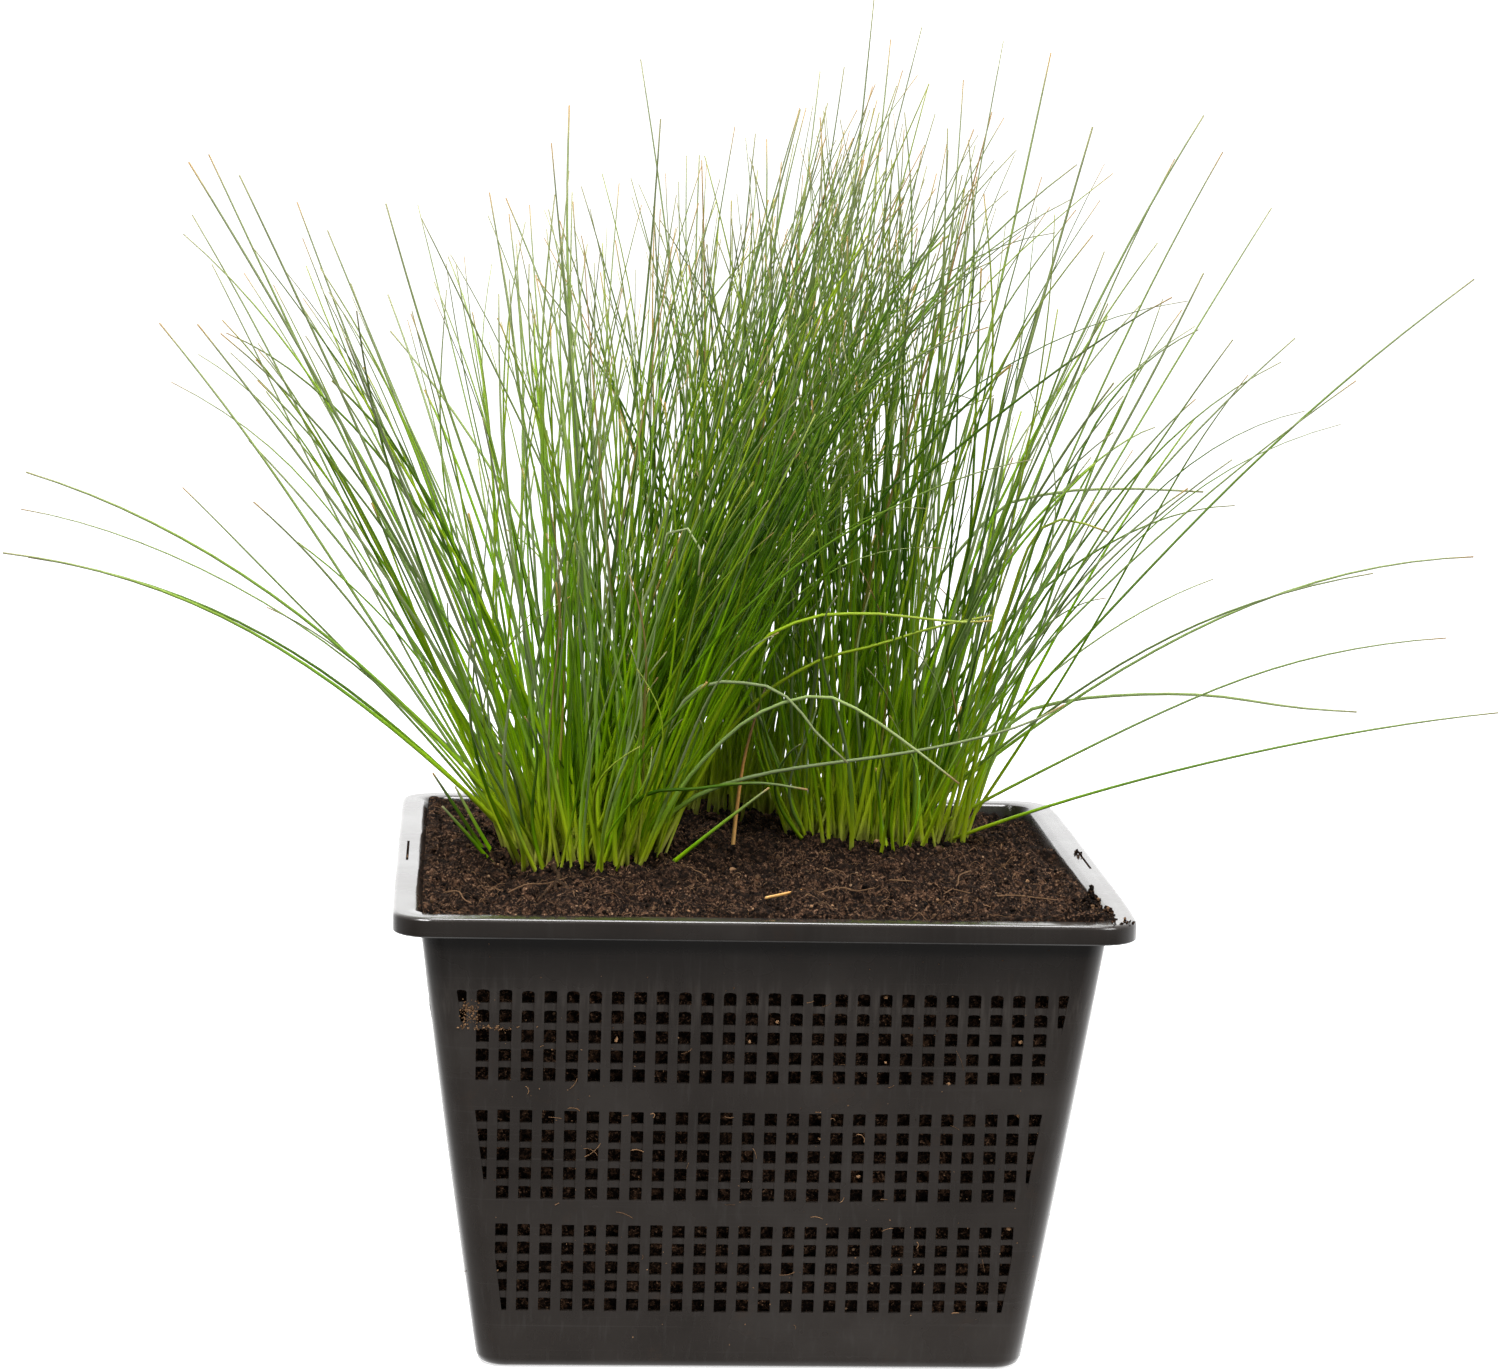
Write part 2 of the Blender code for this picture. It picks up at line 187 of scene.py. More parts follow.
# %% Finish helpers
class Finish:
    """The nodes of a material or of the sky, the inputs of their last one, and the coordinates."""

    def __init__(self, owner, last_node, coordinates="Object"):
        owner.use_nodes = True
        self.owner = owner
        self.nodes = owner.node_tree.nodes
        self.last = self.nodes[last_node].inputs
        self.place = self.add("ShaderNodeTexCoord").outputs[coordinates]

    def join(self, value, socket):
        """Give a socket another node's output, a colour of three numbers, or a plain value."""
        if isinstance(value, bpy.types.NodeSocket):
            self.owner.node_tree.links.new(value, socket)
        else:
            socket.default_value = (*value, 1.0) if socket.type == "RGBA" else value

    def give(self, **inputs):
        """Fill inputs of the last node. An underscore stands for a space in a name."""
        for title, value in inputs.items():
            self.join(value, self.last[title.replace("_", " ")])

    def add(self, kind, inputs=None, **settings):
        """Add a node, set its settings and fill its inputs, which are named or numbered."""
        made = self.nodes.new(kind)
        for title, value in settings.items():
            setattr(made, title, value)
        for title, value in (inputs or {}).items():
            self.join(value, made.inputs[title])
        return made

    def kept_number(self, title):
        """The number of this name that each piece keeps on its own points."""
        return self.add("ShaderNodeAttribute", attribute_name=title).outputs["Fac"]

    def parts(self):
        """X, Y and Z of the coordinates."""
        return self.add("ShaderNodeSeparateXYZ", {"Vector": self.place}).outputs

    def noise(self, scale, detail=3.0, roughness=0.55):
        """Cloudy noise from 0 to 1. Three scales instead of one stretch it along X, Y and Z."""
        place = self.place
        if isinstance(scale, tuple):
            place = self.add("ShaderNodeMapping", {"Vector": place, "Scale": scale}).outputs["Vector"]
            scale = 1.0
        return self.add("ShaderNodeTexNoise", {
            "Vector": place, "Scale": scale, "Detail": detail, "Roughness": roughness}).outputs["Fac"]

    def ramp(self, source, *stops):
        """Colours or greys along a number from 0 to 1: each stop is (place, value)."""
        made = self.add("ShaderNodeValToRGB", {"Fac": source})
        band = made.color_ramp
        while len(band.elements) < len(stops):
            band.elements.new(1.0)
        for element, (where, value) in zip(band.elements, stops):
            element.position = where
            element.color = (*(value if isinstance(value, tuple) else (value,) * 3), 1.0)
        return made.outputs["Color"]

    def mix(self, share, first, second, way="MIX"):
        """Blend two colours by a share from 0 to 1. Inputs 6 and 7 and output 2 are the colours."""
        return self.add("ShaderNodeMix", {0: share, 6: first, 7: second},
                        data_type="RGBA", blend_type=way).outputs[2]

    def layered(self, base, *layers):
        """Lay colours over a base in turn: a layer is (share, colour) or (pattern, *stops, colour)."""
        for share, *stops, colour in layers:
            base = self.mix(self.ramp(share, *stops) if stops else share, base, colour)
        return base

    def sums(self, way, first, second):
        """One sum on two numbers, such as MULTIPLY or ADD."""
        return self.add("ShaderNodeMath", {0: first, 1: second}, operation=way).outputs[0]

    def rescaled(self, value, start, end, low, high):
        """low up to start, high from end on, and an even slope between the two."""
        return self.add("ShaderNodeMapRange", {
            "Value": value, "From Min": start, "From Max": end,
            "To Min": low, "To Max": high}).outputs["Result"]

    def dots(self, scale, reach, rarity):
        """Round dots in a few cells: share 1 within reach[0] of a dot's middle, 0 past reach[1]."""
        cell = self.add("ShaderNodeTexVoronoi", {"Vector": self.place, "Scale": scale}).outputs
        near = self.ramp(cell["Distance"], (0.0, 1.0), (reach[0], 1.0), (reach[1], 0.0))
        chosen = self.ramp(cell["Color"], (0.0, 0.0), (rarity[0], 0.0), (rarity[1], 1.0))
        return self.mix(1.0, near, chosen, "MULTIPLY")

    def raise_surface(self, height, strength, distance):
        """Bump: the height pattern bends the light without moving the surface."""
        bump = self.add("ShaderNodeBump", {
            "Height": height, "Strength": strength, "Distance": distance})
        self.give(Normal=bump.outputs["Normal"])


def new_finish(name, roughness, specular):
    """A material with one shader, under its slot's name."""
    finish = Finish(bpy.data.materials.new(name), "Principled BSDF")
    finish.give(Roughness=roughness, Specular_IOR_Level=specular)
    return finish

# %% [markdown]
# ## The basket's plastic
# Recycled black plastic is never quite black: it is a warm charcoal with a satin shine. The mould
# leaves fine upright and level streaks, handling leaves dust, and wet peat leaves thin brown
# stains. Streaks come from noise that is stretched a hundred times along one axis. Two things
# follow the height: a chalky band under the rim, and painted shade, a dark band right below the
# flange and a lighter one on the skirt.

# %% Plastic finish
plastic = new_finish("basket_plastic", 0.25, 0.42)
upright_streaks = plastic.noise((520, 520, 9), 4.0)
level_streaks = plastic.noise((7, 7, 900))
clouds = plastic.noise(22.0, 4.0)
charcoal = plastic.ramp(
    clouds, (0.25, (0.021, 0.0165, 0.0138)), (0.55, (0.032, 0.0258, 0.0220)),
    (0.8, (0.047, 0.0400, 0.0350)))
# the height in fifths of a metre, so that a ramp from 0 to 1 covers the whole wall
up_the_wall = plastic.sums("MULTIPLY", plastic.parts()["Z"], 5.0)
chalk_band = plastic.ramp(
    up_the_wall, (0.65, 0.0), (0.70, 0.30), (0.745, 1.0), (0.775, 0.5), (0.80, 0.0))
chalk_streaks = plastic.ramp(upright_streaks, (0.44, 0.0), (0.66, 0.42))
worn = plastic.layered(
    charcoal,
    (upright_streaks, (0.55, 0.0), (0.85, 0.35), (0.066, 0.061, 0.057)),
    (level_streaks, (0.60, 0.0), (0.82, 0.35), (0.070, 0.064, 0.060)),
    (plastic.mix(1.0, chalk_band, chalk_streaks, "MULTIPLY"), (0.085, 0.072, 0.062)),
    (plastic.noise(60.0, 6.0, 0.7), (0.60, 0.0), (0.78, 0.45), (0.052, 0.030, 0.018)),
    # painted shade: the wall right below the flange is painted dark where the rim's shadow falls, and the
    # skirt a little less
    (up_the_wall, (0.842, 0.0), (0.858, 0.70), (0.880, 0.70), (0.887, 0.42), (0.911, 0.42),
     (0.916, 0.0), (0.0050, 0.0042, 0.0036)),
    (plastic.dots(260.0, (0.08, 0.14), (0.93, 0.97)), (0.20, 0.16, 0.12)))
plastic.give(Base_Color=worn, Roughness=plastic.ramp(clouds, (0.3, 0.20), (0.7, 0.32)),
             Coat_Weight=0.75, Coat_Roughness=0.12, Coat_IOR=1.5)
streak_height = plastic.sums("ADD", upright_streaks, plastic.sums("MULTIPLY", level_streaks, 0.5))
plastic.raise_surface(streak_height, 0.22, 0.0003)
print("plastic finish:", len(plastic.nodes), "nodes")

# %% [markdown]
# ## The basket
# The real basket is one moulding. Its four walls are a lattice of small square holes in three
# bands, the upright bars stand a little proud of the level bars, and the walls swell outward in
# the middle. We could cut 1500 holes with Booleans, but a lattice is easier as a grid: lay the
# grid's lines along the edges of the holes, leave those cells out, and join the outer skin to the
# inner skin around every gap.

# %% Basket sizes in metres
RIM_HALF = 0.140
BASKET_TOP = 0.1836
SKIRT = 0.0075
OVERHANG = 0.0104
SLOPE = math.tan(math.radians(7.64))
BODY_CORNER = 0.0105
RIM_CORNER = 0.014
BASE_CORNER = 0.0075
WALL = 0.0021
FLOOR_TOP = 0.0030
BULGE = 0.0028
PITCH = 0.00848
HOLE_WIDTH = 0.0048
HOLE_HEIGHT = 0.0052
COLUMNS = 28
# heights of the rows' middles, in three bands of five
HOLE_ROWS = np.array((
    0.0267, 0.0344, 0.0421, 0.0497, 0.0573,
    0.0727, 0.0805, 0.0882, 0.0957, 0.1035,
    0.1204, 0.1279, 0.1357, 0.1435, 0.1513))
ROWS_IN_BAND = 5
FIRST_ARCHED_ROW = 13
SLOT_COLUMNS = (11, 16)
CORNER_STEPS = 6
CROSS_BAR_RECESS = 0.0005
SMALLEST_HOLE = 0.0008
SIDE_START = 0.104
SIDE_FADE = 0.024
LEFT_LIP = 0.0012


def wall_half(height):
    """Half the outside width of the wall: it grows with height by the wall's slope."""
    return RIM_HALF - OVERHANG - SLOPE * (BASKET_TOP - SKIRT - height)


def swell(along, height):
    """How far a wall swells outward: most in the middle, nothing at its edges, top and foot."""
    rise = np.clip(height / (BASKET_TOP - SKIRT), 0, 1)
    return BULGE * np.clip(1 - (along / wall_half(height)) ** 2, 0, 1) * np.sin(np.pi * rise)


def side_bow(x, y, in_rim):
    """The soil presses the sides outward: (right, left) * middle share * nearness to that side.

    The rim bows most at its middles, as 1 - (y / half)^8. The walls stand out all along.
    """
    near_side = np.clip((np.abs(x) - SIDE_START) / SIDE_FADE, 0, 1)
    middle = np.clip(1 - (y / RIM_HALF) ** 8, 0, 1)
    rim = np.where(x > 0, 0.0027, -0.0009) * middle
    wall = np.where(x > 0, 0.0016, -0.0006)
    return near_side * (in_rim * rim + (1 - in_rim) * wall)


def lattice_edge(height):
    """Half the width of the field of holes: its sides slant less than the wall's."""
    return np.minimum(0.097 + 0.143 * (height - HOLE_ROWS[0]), 0.1152)

# %% Upright lines of one wall
column_middles = (np.arange(COLUMNS) - (COLUMNS - 1) / 2) * PITCH
across_hole = np.array((-0.5, -0.40, 0.0, 0.40, 0.5)) * HOLE_WIDTH
bar_middles = column_middles[:-1] + PITCH / 2
last_line = column_middles[-1] + HOLE_WIDTH / 2 + 0.0012
lines = np.sort(np.concatenate([
    (column_middles[:, None] + across_hole).ravel(), bar_middles, (-last_line, last_line)]))
first_of_column = 1 + 6 * np.arange(COLUMNS)
corner_angles = np.linspace(-np.pi / 2, 0, CORNER_STEPS + 1)[1:-1]
per_side = len(lines) + len(corner_angles)
print("upright lines on one wall:", len(lines), "with its corner:", per_side)

# %% [markdown]
# The outline is a ring of stations: each has a height, half a width and a corner radius. The
# rings run up the outside, over the flange and skirt, and down the inside. Lines that would pass
# the end of a narrow wall near the foot are squeezed together, so the holes keep their columns.

# %% Stations
# in mm: drop below the top, inset from the rim's outside, how much tighter the corner is
RIM_PROFILE = (
    (2.5, 4.7, 2.5), (2.5, 3.7, 2.0), (2.5, 2.1, 2.0), (7.1, 2.0, 2.0), (7.5, 1.6, 1.5),
    (7.5, 0.5, 0.5), (7.0, 0, 0), (1.4, 0, 0), (0.6, 0.3, 0), (0.1, 1.1, 1.0),
    (0, 1.8, 1.5), (0.1, 3.7, 2.0), (0.1, 4.7, 2.5))
flange_under = BASKET_TOP - 0.0025
plain_heights = np.array((0.0040, 0.0120, 0.0190, 0.0650, 0.1120, 0.1600, 0.1680, 0.1750))
hole_edges = np.concatenate([HOLE_ROWS - HOLE_HEIGHT / 2, HOLE_ROWS + HOLE_HEIGHT / 2])
wall_heights = np.sort(np.concatenate([plain_heights, hole_edges]))
SLOT_INNER = RIM_HALF - 0.0047
SLOT_OUTER = RIM_HALF - 0.0037

base_stations = [
    (0.0000, wall_half(0.0) - 0.0040, BASE_CORNER),
    (0.0004, wall_half(0.0) - 0.0020, BASE_CORNER + 0.0015),
    (0.0016, wall_half(0.0016) - 0.0005, BODY_CORNER),
]
outer_wall = [(height, wall_half(height), BODY_CORNER) for height in wall_heights]
rim_profile = [(BASKET_TOP - drop / 1000, RIM_HALF - inset / 1000, RIM_CORNER - tighter / 1000)
               for drop, inset, tighter in RIM_PROFILE]
flange = [
    (flange_under, wall_half(flange_under), BODY_CORNER), *rim_profile,
    (BASKET_TOP, wall_half(BASKET_TOP) + 0.0010, BODY_CORNER),
    (BASKET_TOP - 0.0005, wall_half(BASKET_TOP) - WALL + 0.0012, BODY_CORNER - 0.001),
    (BASKET_TOP - 0.0018, wall_half(BASKET_TOP) - WALL + 0.0002, BODY_CORNER - WALL),
]
inner_heights = np.sort(np.concatenate([(FLOOR_TOP, 0.0190, 0.1650, 0.1780), hole_edges]))[::-1]
inner_wall = [(height, wall_half(height) - WALL, BODY_CORNER - WALL) for height in inner_heights]
stations = np.array(base_stations + outer_wall + flange + inner_wall)
OUTER_START = len(base_stations)
FLANGE_START = OUTER_START + len(outer_wall)
INNER_START = FLANGE_START + len(flange)
print("stations:", len(stations))

# %% Hole tables
outer_low = OUTER_START + np.searchsorted(wall_heights, HOLE_ROWS - HOLE_HEIGHT / 2 - 1e-6)
inner_order = inner_heights[::-1]
inner_low = len(stations) - 1 - np.searchsorted(inner_order, HOLE_ROWS - HOLE_HEIGHT / 2 - 1e-6)
row_edge = lattice_edge(HOLE_ROWS)
is_open = (np.abs(column_middles)[None, :] - HOLE_WIDTH / 2 + SMALLEST_HOLE) < row_edge[:, None]
print("holes in one wall:", int(is_open.sum()))

# %% Small unevenness of each hole
# how far the top of a hole comes down at each of its five lines
ARCH_SHAPE = np.array((1.0, 0.3, 0.0, 0.3, 1.0))
basket_chance = np.random.default_rng(11)
# the two top rows are arched, the others nearly square
arched = np.where(np.arange(len(HOLE_ROWS)) >= FIRST_ARCHED_ROW, 1.0, 0.16)[:, None, None]
arch_drop = arched * basket_chance.uniform(0.0002, 0.0014, (len(HOLE_ROWS), COLUMNS, 4))
edge_slip = basket_chance.normal(0, 0.00010, (2, len(HOLE_ROWS), COLUMNS, 4))
print("deepest arch in mm:", round(1000 * arch_drop.max(), 2))

# %% Points of the basket
def squeeze(values, edge, limit):
    """Lines inside the lattice stay; those beyond it are spread evenly up to the corner."""
    size = np.abs(values)[None, :]
    beyond = edge[:, None] + (size - edge[:, None]) * (
        (limit - edge) / (last_line - edge))[:, None]
    return np.sign(values)[None, :] * np.where(size <= edge[:, None], size, beyond)


def turned(x, y, z, side):
    """Points of the front wall, carried round to wall 0 to 3 by quarter turns."""
    turn = side * np.pi / 2
    return np.stack(
        [x * np.cos(turn) - y * np.sin(turn), x * np.sin(turn) + y * np.cos(turn), z], axis=-1)


height, half, radius = stations.T
limit = half - radius
along = squeeze(lines, lattice_edge(height), limit)
station_up = np.broadcast_to(height[:, None], along.shape)
is_wall = np.ones(len(stations), dtype=bool)
is_wall[FLANGE_START:INNER_START] = False
outward = half[:, None] + np.where(is_wall[:, None], swell(along, station_up), 0.0)
hole_lines = first_of_column[:, None] + np.arange(5)
place_in_band = np.arange(len(HOLE_ROWS)) % ROWS_IN_BAND
for edge, meets_bar in ((outer_low, place_in_band > 0),
                        (outer_low + 1, place_in_band < ROWS_IN_BAND - 1)):
    recess = CROSS_BAR_RECESS * (is_open & meets_bar[:, None])
    outward[edge[:, None, None], hole_lines[:, 1:4]] -= recess[..., None]

corner_x = limit[:, None] + radius[:, None] * np.cos(corner_angles)
corner_y = -limit[:, None] + radius[:, None] * np.sin(corner_angles)
x = np.concatenate([along, corner_x], axis=1)
y = np.concatenate([-outward, corner_y], axis=1)
walls = []
for side in range(4):
    side_up = station_up.copy()
    arch = arch_drop[:, :, side, None] * ARCH_SHAPE
    top_slip = is_open[..., None] * (arch - edge_slip[0, :, :, side, None])
    foot_slip = is_open[..., None] * edge_slip[1, :, :, side, None]
    for low, way_up in ((outer_low, 1), (inner_low, -1)):
        side_up[low[:, None, None] + way_up, hole_lines] -= top_slip
        side_up[low[:, None, None], hole_lines] += foot_slip
    z = np.concatenate([side_up, np.broadcast_to(height[:, None], corner_x.shape)], axis=1)
    walls.append(turned(x, y, z, side))
basket_points = np.concatenate(walls, axis=1)
in_rim = np.where(is_wall, 0.0, 1.0)
in_rim[INNER_START:INNER_START + 2] = (0.7, 0.3)
bow = side_bow(basket_points[..., 0], basket_points[..., 1], in_rim[:, None])
lip = np.zeros(len(stations))
lip[INNER_START - 3:INNER_START + 1] = (0.5, 1.0, 1.0, 0.5)
left_lip = np.clip((-basket_points[..., 0] - SIDE_START) / SIDE_FADE, 0, 1) * lip[:, None]
basket_points[..., 0] += bow - LEFT_LIP * left_lip
ring_size = basket_points.shape[1]
print("basket grid:", basket_points.shape)

# %% Faces of the basket, with the holes left out and lined
SHARP_ANGLE = 38
cells = grid_cells(len(stations), ring_size, round_about=True)
kept = np.ones(cells.shape[:2], dtype=bool)


def open_gaps(outer_row, inner_row, first, count):
    """Leave `count` cells per gap out of both skins, and give the faces that line the gaps.

    The first three are arrays with one number for each gap. A lining joins the edge loop of the
    outer skin to the one of the inner skin.
    """
    outer_row, inner_row, first = (numbers[:, None] for numbers in (outer_row, inner_row, first))
    kept[outer_row, first + np.arange(count)] = False
    kept[inner_row - 1, first + np.arange(count)] = False
    steps = (first + np.arange(count + 1)) % ring_size
    outer, inner = (
        np.concatenate([low * ring_size + steps, high * ring_size + steps[:, ::-1]], axis=1)
        for low, high in ((outer_row, outer_row + 1), (inner_row, inner_row - 1)))
    after_outer, after_inner = np.roll(outer, -1, axis=1), np.roll(inner, -1, axis=1)
    return np.stack([outer, after_outer, after_inner, inner], axis=-1).reshape(-1, 4)


row, column = np.nonzero(is_open)
hole_starts = (np.arange(4)[:, None] * per_side + first_of_column[column]).ravel()
hole_linings = open_gaps(np.tile(outer_low[row], 4), np.tile(inner_low[row], 4), hole_starts, 4)
slot_start, slot_end = first_of_column[list(SLOT_COLUMNS)]
slot_linings = open_gaps(
    np.full(2, FLANGE_START + 1), np.full(2, FLANGE_START + 13),
    np.array((1, 3)) * per_side + slot_start + 2, slot_end - slot_start)

ring = np.arange(ring_size)
centres = np.array(((0, 0, 0.0), (0, 0, FLOOR_TOP)))
base_middle = len(stations) * ring_size
basket = add_piece(
    "basket_moulding",
    np.concatenate([basket_points.reshape(-1, 3), centres]),
    [cells[kept], np.concatenate([hole_linings, slot_linings]),
     fan(ring, base_middle, facing_down=True), fan(base_middle - ring_size + ring, base_middle + 1)],
    plastic, turn_out=True)
basket.data.set_sharp_from_angle(angle=math.radians(SHARP_ANGLE))
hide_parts("basket")

# %% [markdown]
# ## Peat
# Damp peat is dark brown and matt, with paler crumbs, sand grains and reddish root threads in it.
# The colour follows cloudy noise of one and three millimetres and of two centimetres, so that
# neighbouring crumbs differ. A `hollow` number paints shade: it makes the gaps between lumps and the
# dents in the block's sides nearly black, and it also darkens some loose crumbs at random. A `tone`
# number on loose crumbs lets single ones be paler than the ground that they lie on.

# %% Peat finish
peat = new_finish("peat", 0.95, 0.12)
fine_noise = peat.noise(950.0, 3.0, 0.70)
lumpy_noise = peat.noise(360.0, 4.0, 0.62)
browns = peat.ramp(
    fine_noise, (0.38, (0.0016, 0.0009, 0.0006)), (0.50, (0.0120, 0.0062, 0.0036)),
    (0.59, (0.0850, 0.0440, 0.0250)), (0.68, (0.3800, 0.2200, 0.1300)))
peat.give(Base_Color=peat.layered(
    browns,
    (peat.noise(60.0, 5.0, 0.65), (0.36, 0.85), (0.57, 0.0), (0.010, 0.0055, 0.0034)),
    (lumpy_noise, (0.38, 0.80), (0.51, 0.0), (0.0050, 0.0028, 0.0018)),
    (lumpy_noise, (0.54, 0.0), (0.70, 0.55), (0.1800, 0.0920, 0.0510)),
    # painted shade: hollow darkens gaps, dents and the crumbs lying in them nearly to black; on some crumbs
    # it is a dark tone at random
    (peat.kept_number("hollow"), (0.002, 0.0012, 0.0008)),
    (peat.dots(520.0, (0.24, 0.36), (0.90, 0.94)), (0.34, 0.21, 0.12)),
    (peat.kept_number("tone"), (0.44, 0.25, 0.13))))
peat.raise_surface(fine_noise, 1.0, 0.0012)
print("peat finish:", len(peat.nodes), "nodes")

# %% [markdown]
# ## Soil
# The soil is a crumbly top and a block whose sides press against the lattice and show through
# every hole. The top is a square grid bent to the basket's round-cornered outline; the sides are
# rings of the same outline, set close together only where holes look at them. Lumps of four
# sizes roughen the top, and dents of two sizes roughen the sides.

# %% Soil shape
SOIL_EDGE = BASKET_TOP - 0.003
SOIL_RISE = 0.005
SOIL_HALF = 0.1279
SOIL_CORNER = 0.0080
TOP_GRID = 291
TOP_DEPTH = 0.015
EDGE_START = 0.965
SHIFT_ON_THE_LEFT = 0.0010
BLOCK_FOOT = 0.0034
BLOCK_GRID = 181
BLOCK_GAP = 0.0003
# height, size, the share of it that counts as level, seed
LUMPS = ((0.0058, 0.0110, 0.60, 1), (0.0050, 0.0055, 0.60, 2),
         (0.0034, 0.0032, 0.50, 3), (0.0016, 0.0019, 0.50, 5))


def soil_level(x, y):
    """The broad top: a low mound, soft waves, a hollow at the right back and a trench along that wall."""
    mound = SOIL_RISE * np.maximum(0, 1 - (x * x + y * y) / RIM_HALF ** 2)
    waves = 0.0011 * np.sin(71 * x + 1.0) * np.cos(63 * y) + 0.0007 * np.sin(150 * x - 120 * y)
    hollow = 0.005 * np.exp(-((x - 0.095) ** 2 + (y - 0.095) ** 2) / 0.0016)
    trench = 0.0045 * np.exp(-((x - 0.128) / 0.013) ** 2) * np.clip((y + 0.075) / 0.05, 0, 1)
    return SOIL_EDGE + mound + waves - hollow - trench


def soil_top(x, y):
    """The crumbly top: the broad level plus the crumbs."""
    return soil_level(x, y) + crumb_height(x, y)


def crumb_height(x, y):
    """Lumps of 11, 5.5, 3.2 and 1.9 mm and soft ripples, above or below the broad level."""
    flat = np.stack([x.ravel(), y.ravel(), np.zeros(x.size)], axis=-1)
    flat = shaken(flat, 0.0012, 0.0035, 8)
    crumbs = sum(height * (lumps(flat, size, seed) - level) for height, size, level, seed in LUMPS)
    return (crumbs + 0.0028 * ripple(flat, 0.016, 4)).reshape(x.shape)


def to_outline(u, v):
    """Bend the square from -1 to 1 to the soil's outline: each ray ends on that outline."""
    size = np.maximum(np.abs(u), np.abs(v))
    safe = np.where(size == 0, 1, size)
    slant = np.minimum(np.abs(u), np.abs(v)) / safe
    middle = SOIL_HALF - SOIL_CORNER
    square, cross, rest = 1 + slant ** 2, -2 * middle * (1 + slant), 2 * middle ** 2 - SOIL_CORNER ** 2
    root = np.sqrt(np.maximum(cross ** 2 - 4 * square * rest, 0))
    reach = np.where(slant * SOIL_HALF > middle, (root - cross) / (2 * square), SOIL_HALF)
    return u * reach, v * reach


def rounded_grid(count):
    """A bent square grid: x and y of its points, and the numbers of those along its border."""
    steps = np.linspace(-1, 1, count)
    number = np.arange(count ** 2).reshape(count, count)
    border = np.concatenate([
        number[0, :-1], number[:-1, -1], number[-1, :0:-1], number[:0:-1, 0]])
    return *to_outline(*np.meshgrid(steps, steps)), border


def close_below(points, border, rings):
    """Join rings of points (rings, border, 3) under a square grid, and close the last with a fan."""
    rows, loop = rings.shape[:2]
    side = math.isqrt(len(points))
    first = len(points)
    around = np.arange(loop)
    ring_cells = grid_cells(rows, loop, round_about=True).reshape(-1, 4) + first
    seam = np.stack([border, np.roll(border, -1),
                     first + np.roll(around, -1), first + around], axis=-1)
    bottom = fan(first + (rows - 1) * loop + around, first + rows * loop)
    centre = rings[-1].mean(axis=0)[None]
    top = grid_cells(side, side).reshape(-1, 4)
    return np.concatenate([points, rings.reshape(-1, 3), centre]), [top, ring_cells, seam, bottom]


def painted_hollow_shade(height):
    """Painted shade: how dark a place is painted, none above the broad level, nearly black 3 mm below it."""
    return np.clip(0.12 - 300 * height, 0, 0.92)

# %% Soil top
x, y, border = rounded_grid(TOP_GRID)
from_middle = np.abs(np.linspace(-1, 1, TOP_GRID))
near_edge = np.clip((np.maximum.outer(from_middle, from_middle) - EDGE_START) / (1 - EDGE_START), 0, 1)
height = crumb_height(x, y)
z = soil_level(x, y) + height * (1 - 0.5 * near_edge) + 0.0012 * near_edge ** 2
on_the_left = np.clip((-x - SIDE_START) / SIDE_FADE, 0, 1)
bowed_x = x + side_bow(x, y, 1.0) - SHIFT_ON_THE_LEFT * on_the_left
points = np.stack([bowed_x, y, z], axis=-1).reshape(-1, 3)
rings = np.stack([points[border] * (share, share, 0) + (0, 0, BASKET_TOP - depth)
                  for share, depth in ((0.986, 0.013), (0.972, TOP_DEPTH))])
points, faces = close_below(points, border, rings)
painted_shade = np.zeros(len(points))
# painted shade: low places of the top are painted dark
painted_shade[:height.size] = painted_hollow_shade(height.ravel())
add_piece("soil_crust", points, faces, peat,
          values={"tone": np.zeros(len(points)), "hollow": painted_shade}, turn_out=True)

# %% Soil block
# close rings behind the three bands of holes, wide ones between them
band_rows = [np.arange(low, high, 0.00125) for low, high in
             ((0.0225, 0.0615), (0.0685, 0.1075), (0.1165, 0.1560))]
block_rows = np.sort(np.concatenate(
    [(BLOCK_FOOT, 0.010, 0.017, 0.065, 0.112, 0.162, 0.168)] + band_rows))[::-1]
x, y, border = rounded_grid(BLOCK_GRID)
ring_share = (wall_half(block_rows) - WALL - BLOCK_GAP) / SOIL_HALF
ring_x = x.ravel()[border][None, :] * ring_share[:, None]
ring_y = y.ravel()[border][None, :] * ring_share[:, None]
ring_z = np.broadcast_to(block_rows[:, None], ring_x.shape)
push = np.stack([ring_x, ring_y]) * np.abs(np.stack([ring_x, ring_y])) ** 11
push = push / np.linalg.norm(push, axis=0)
along_wall = np.where(np.abs(ring_x) > np.abs(ring_y), ring_y, ring_x)
flat = np.stack([ring_x, ring_y, ring_z], axis=-1).reshape(-1, 3)
flat = shaken(flat, 0.0010, 0.0030, 18)
dent = (0.0016 * (1 - lumps(flat, 0.0050, 15)) + 0.0013 * (1 - lumps(flat, 0.0026, 16))
        + 0.0004 * (1 + ripple(flat, 0.012, 17))).reshape(ring_x.shape)
shift = swell(along_wall, ring_z) - np.maximum(dent - 0.0007, 0)
block_x = ring_x + push[0] * shift
rings = np.stack([block_x + side_bow(ring_x, ring_y, 0.0), ring_y + push[1] * shift, ring_z], axis=-1)
ends = np.array([(0, 0, block_rows[0]), (0, 0, block_rows[-1])])
points = np.concatenate([rings.reshape(-1, 3), ends])
loop = np.arange(len(border))
first_of_last = (len(block_rows) - 1) * len(border)
faces = [grid_cells(len(block_rows), len(border), round_about=True).reshape(-1, 4),
         fan(loop, len(points) - 2, facing_down=True), fan(first_of_last + loop, len(points) - 1)]
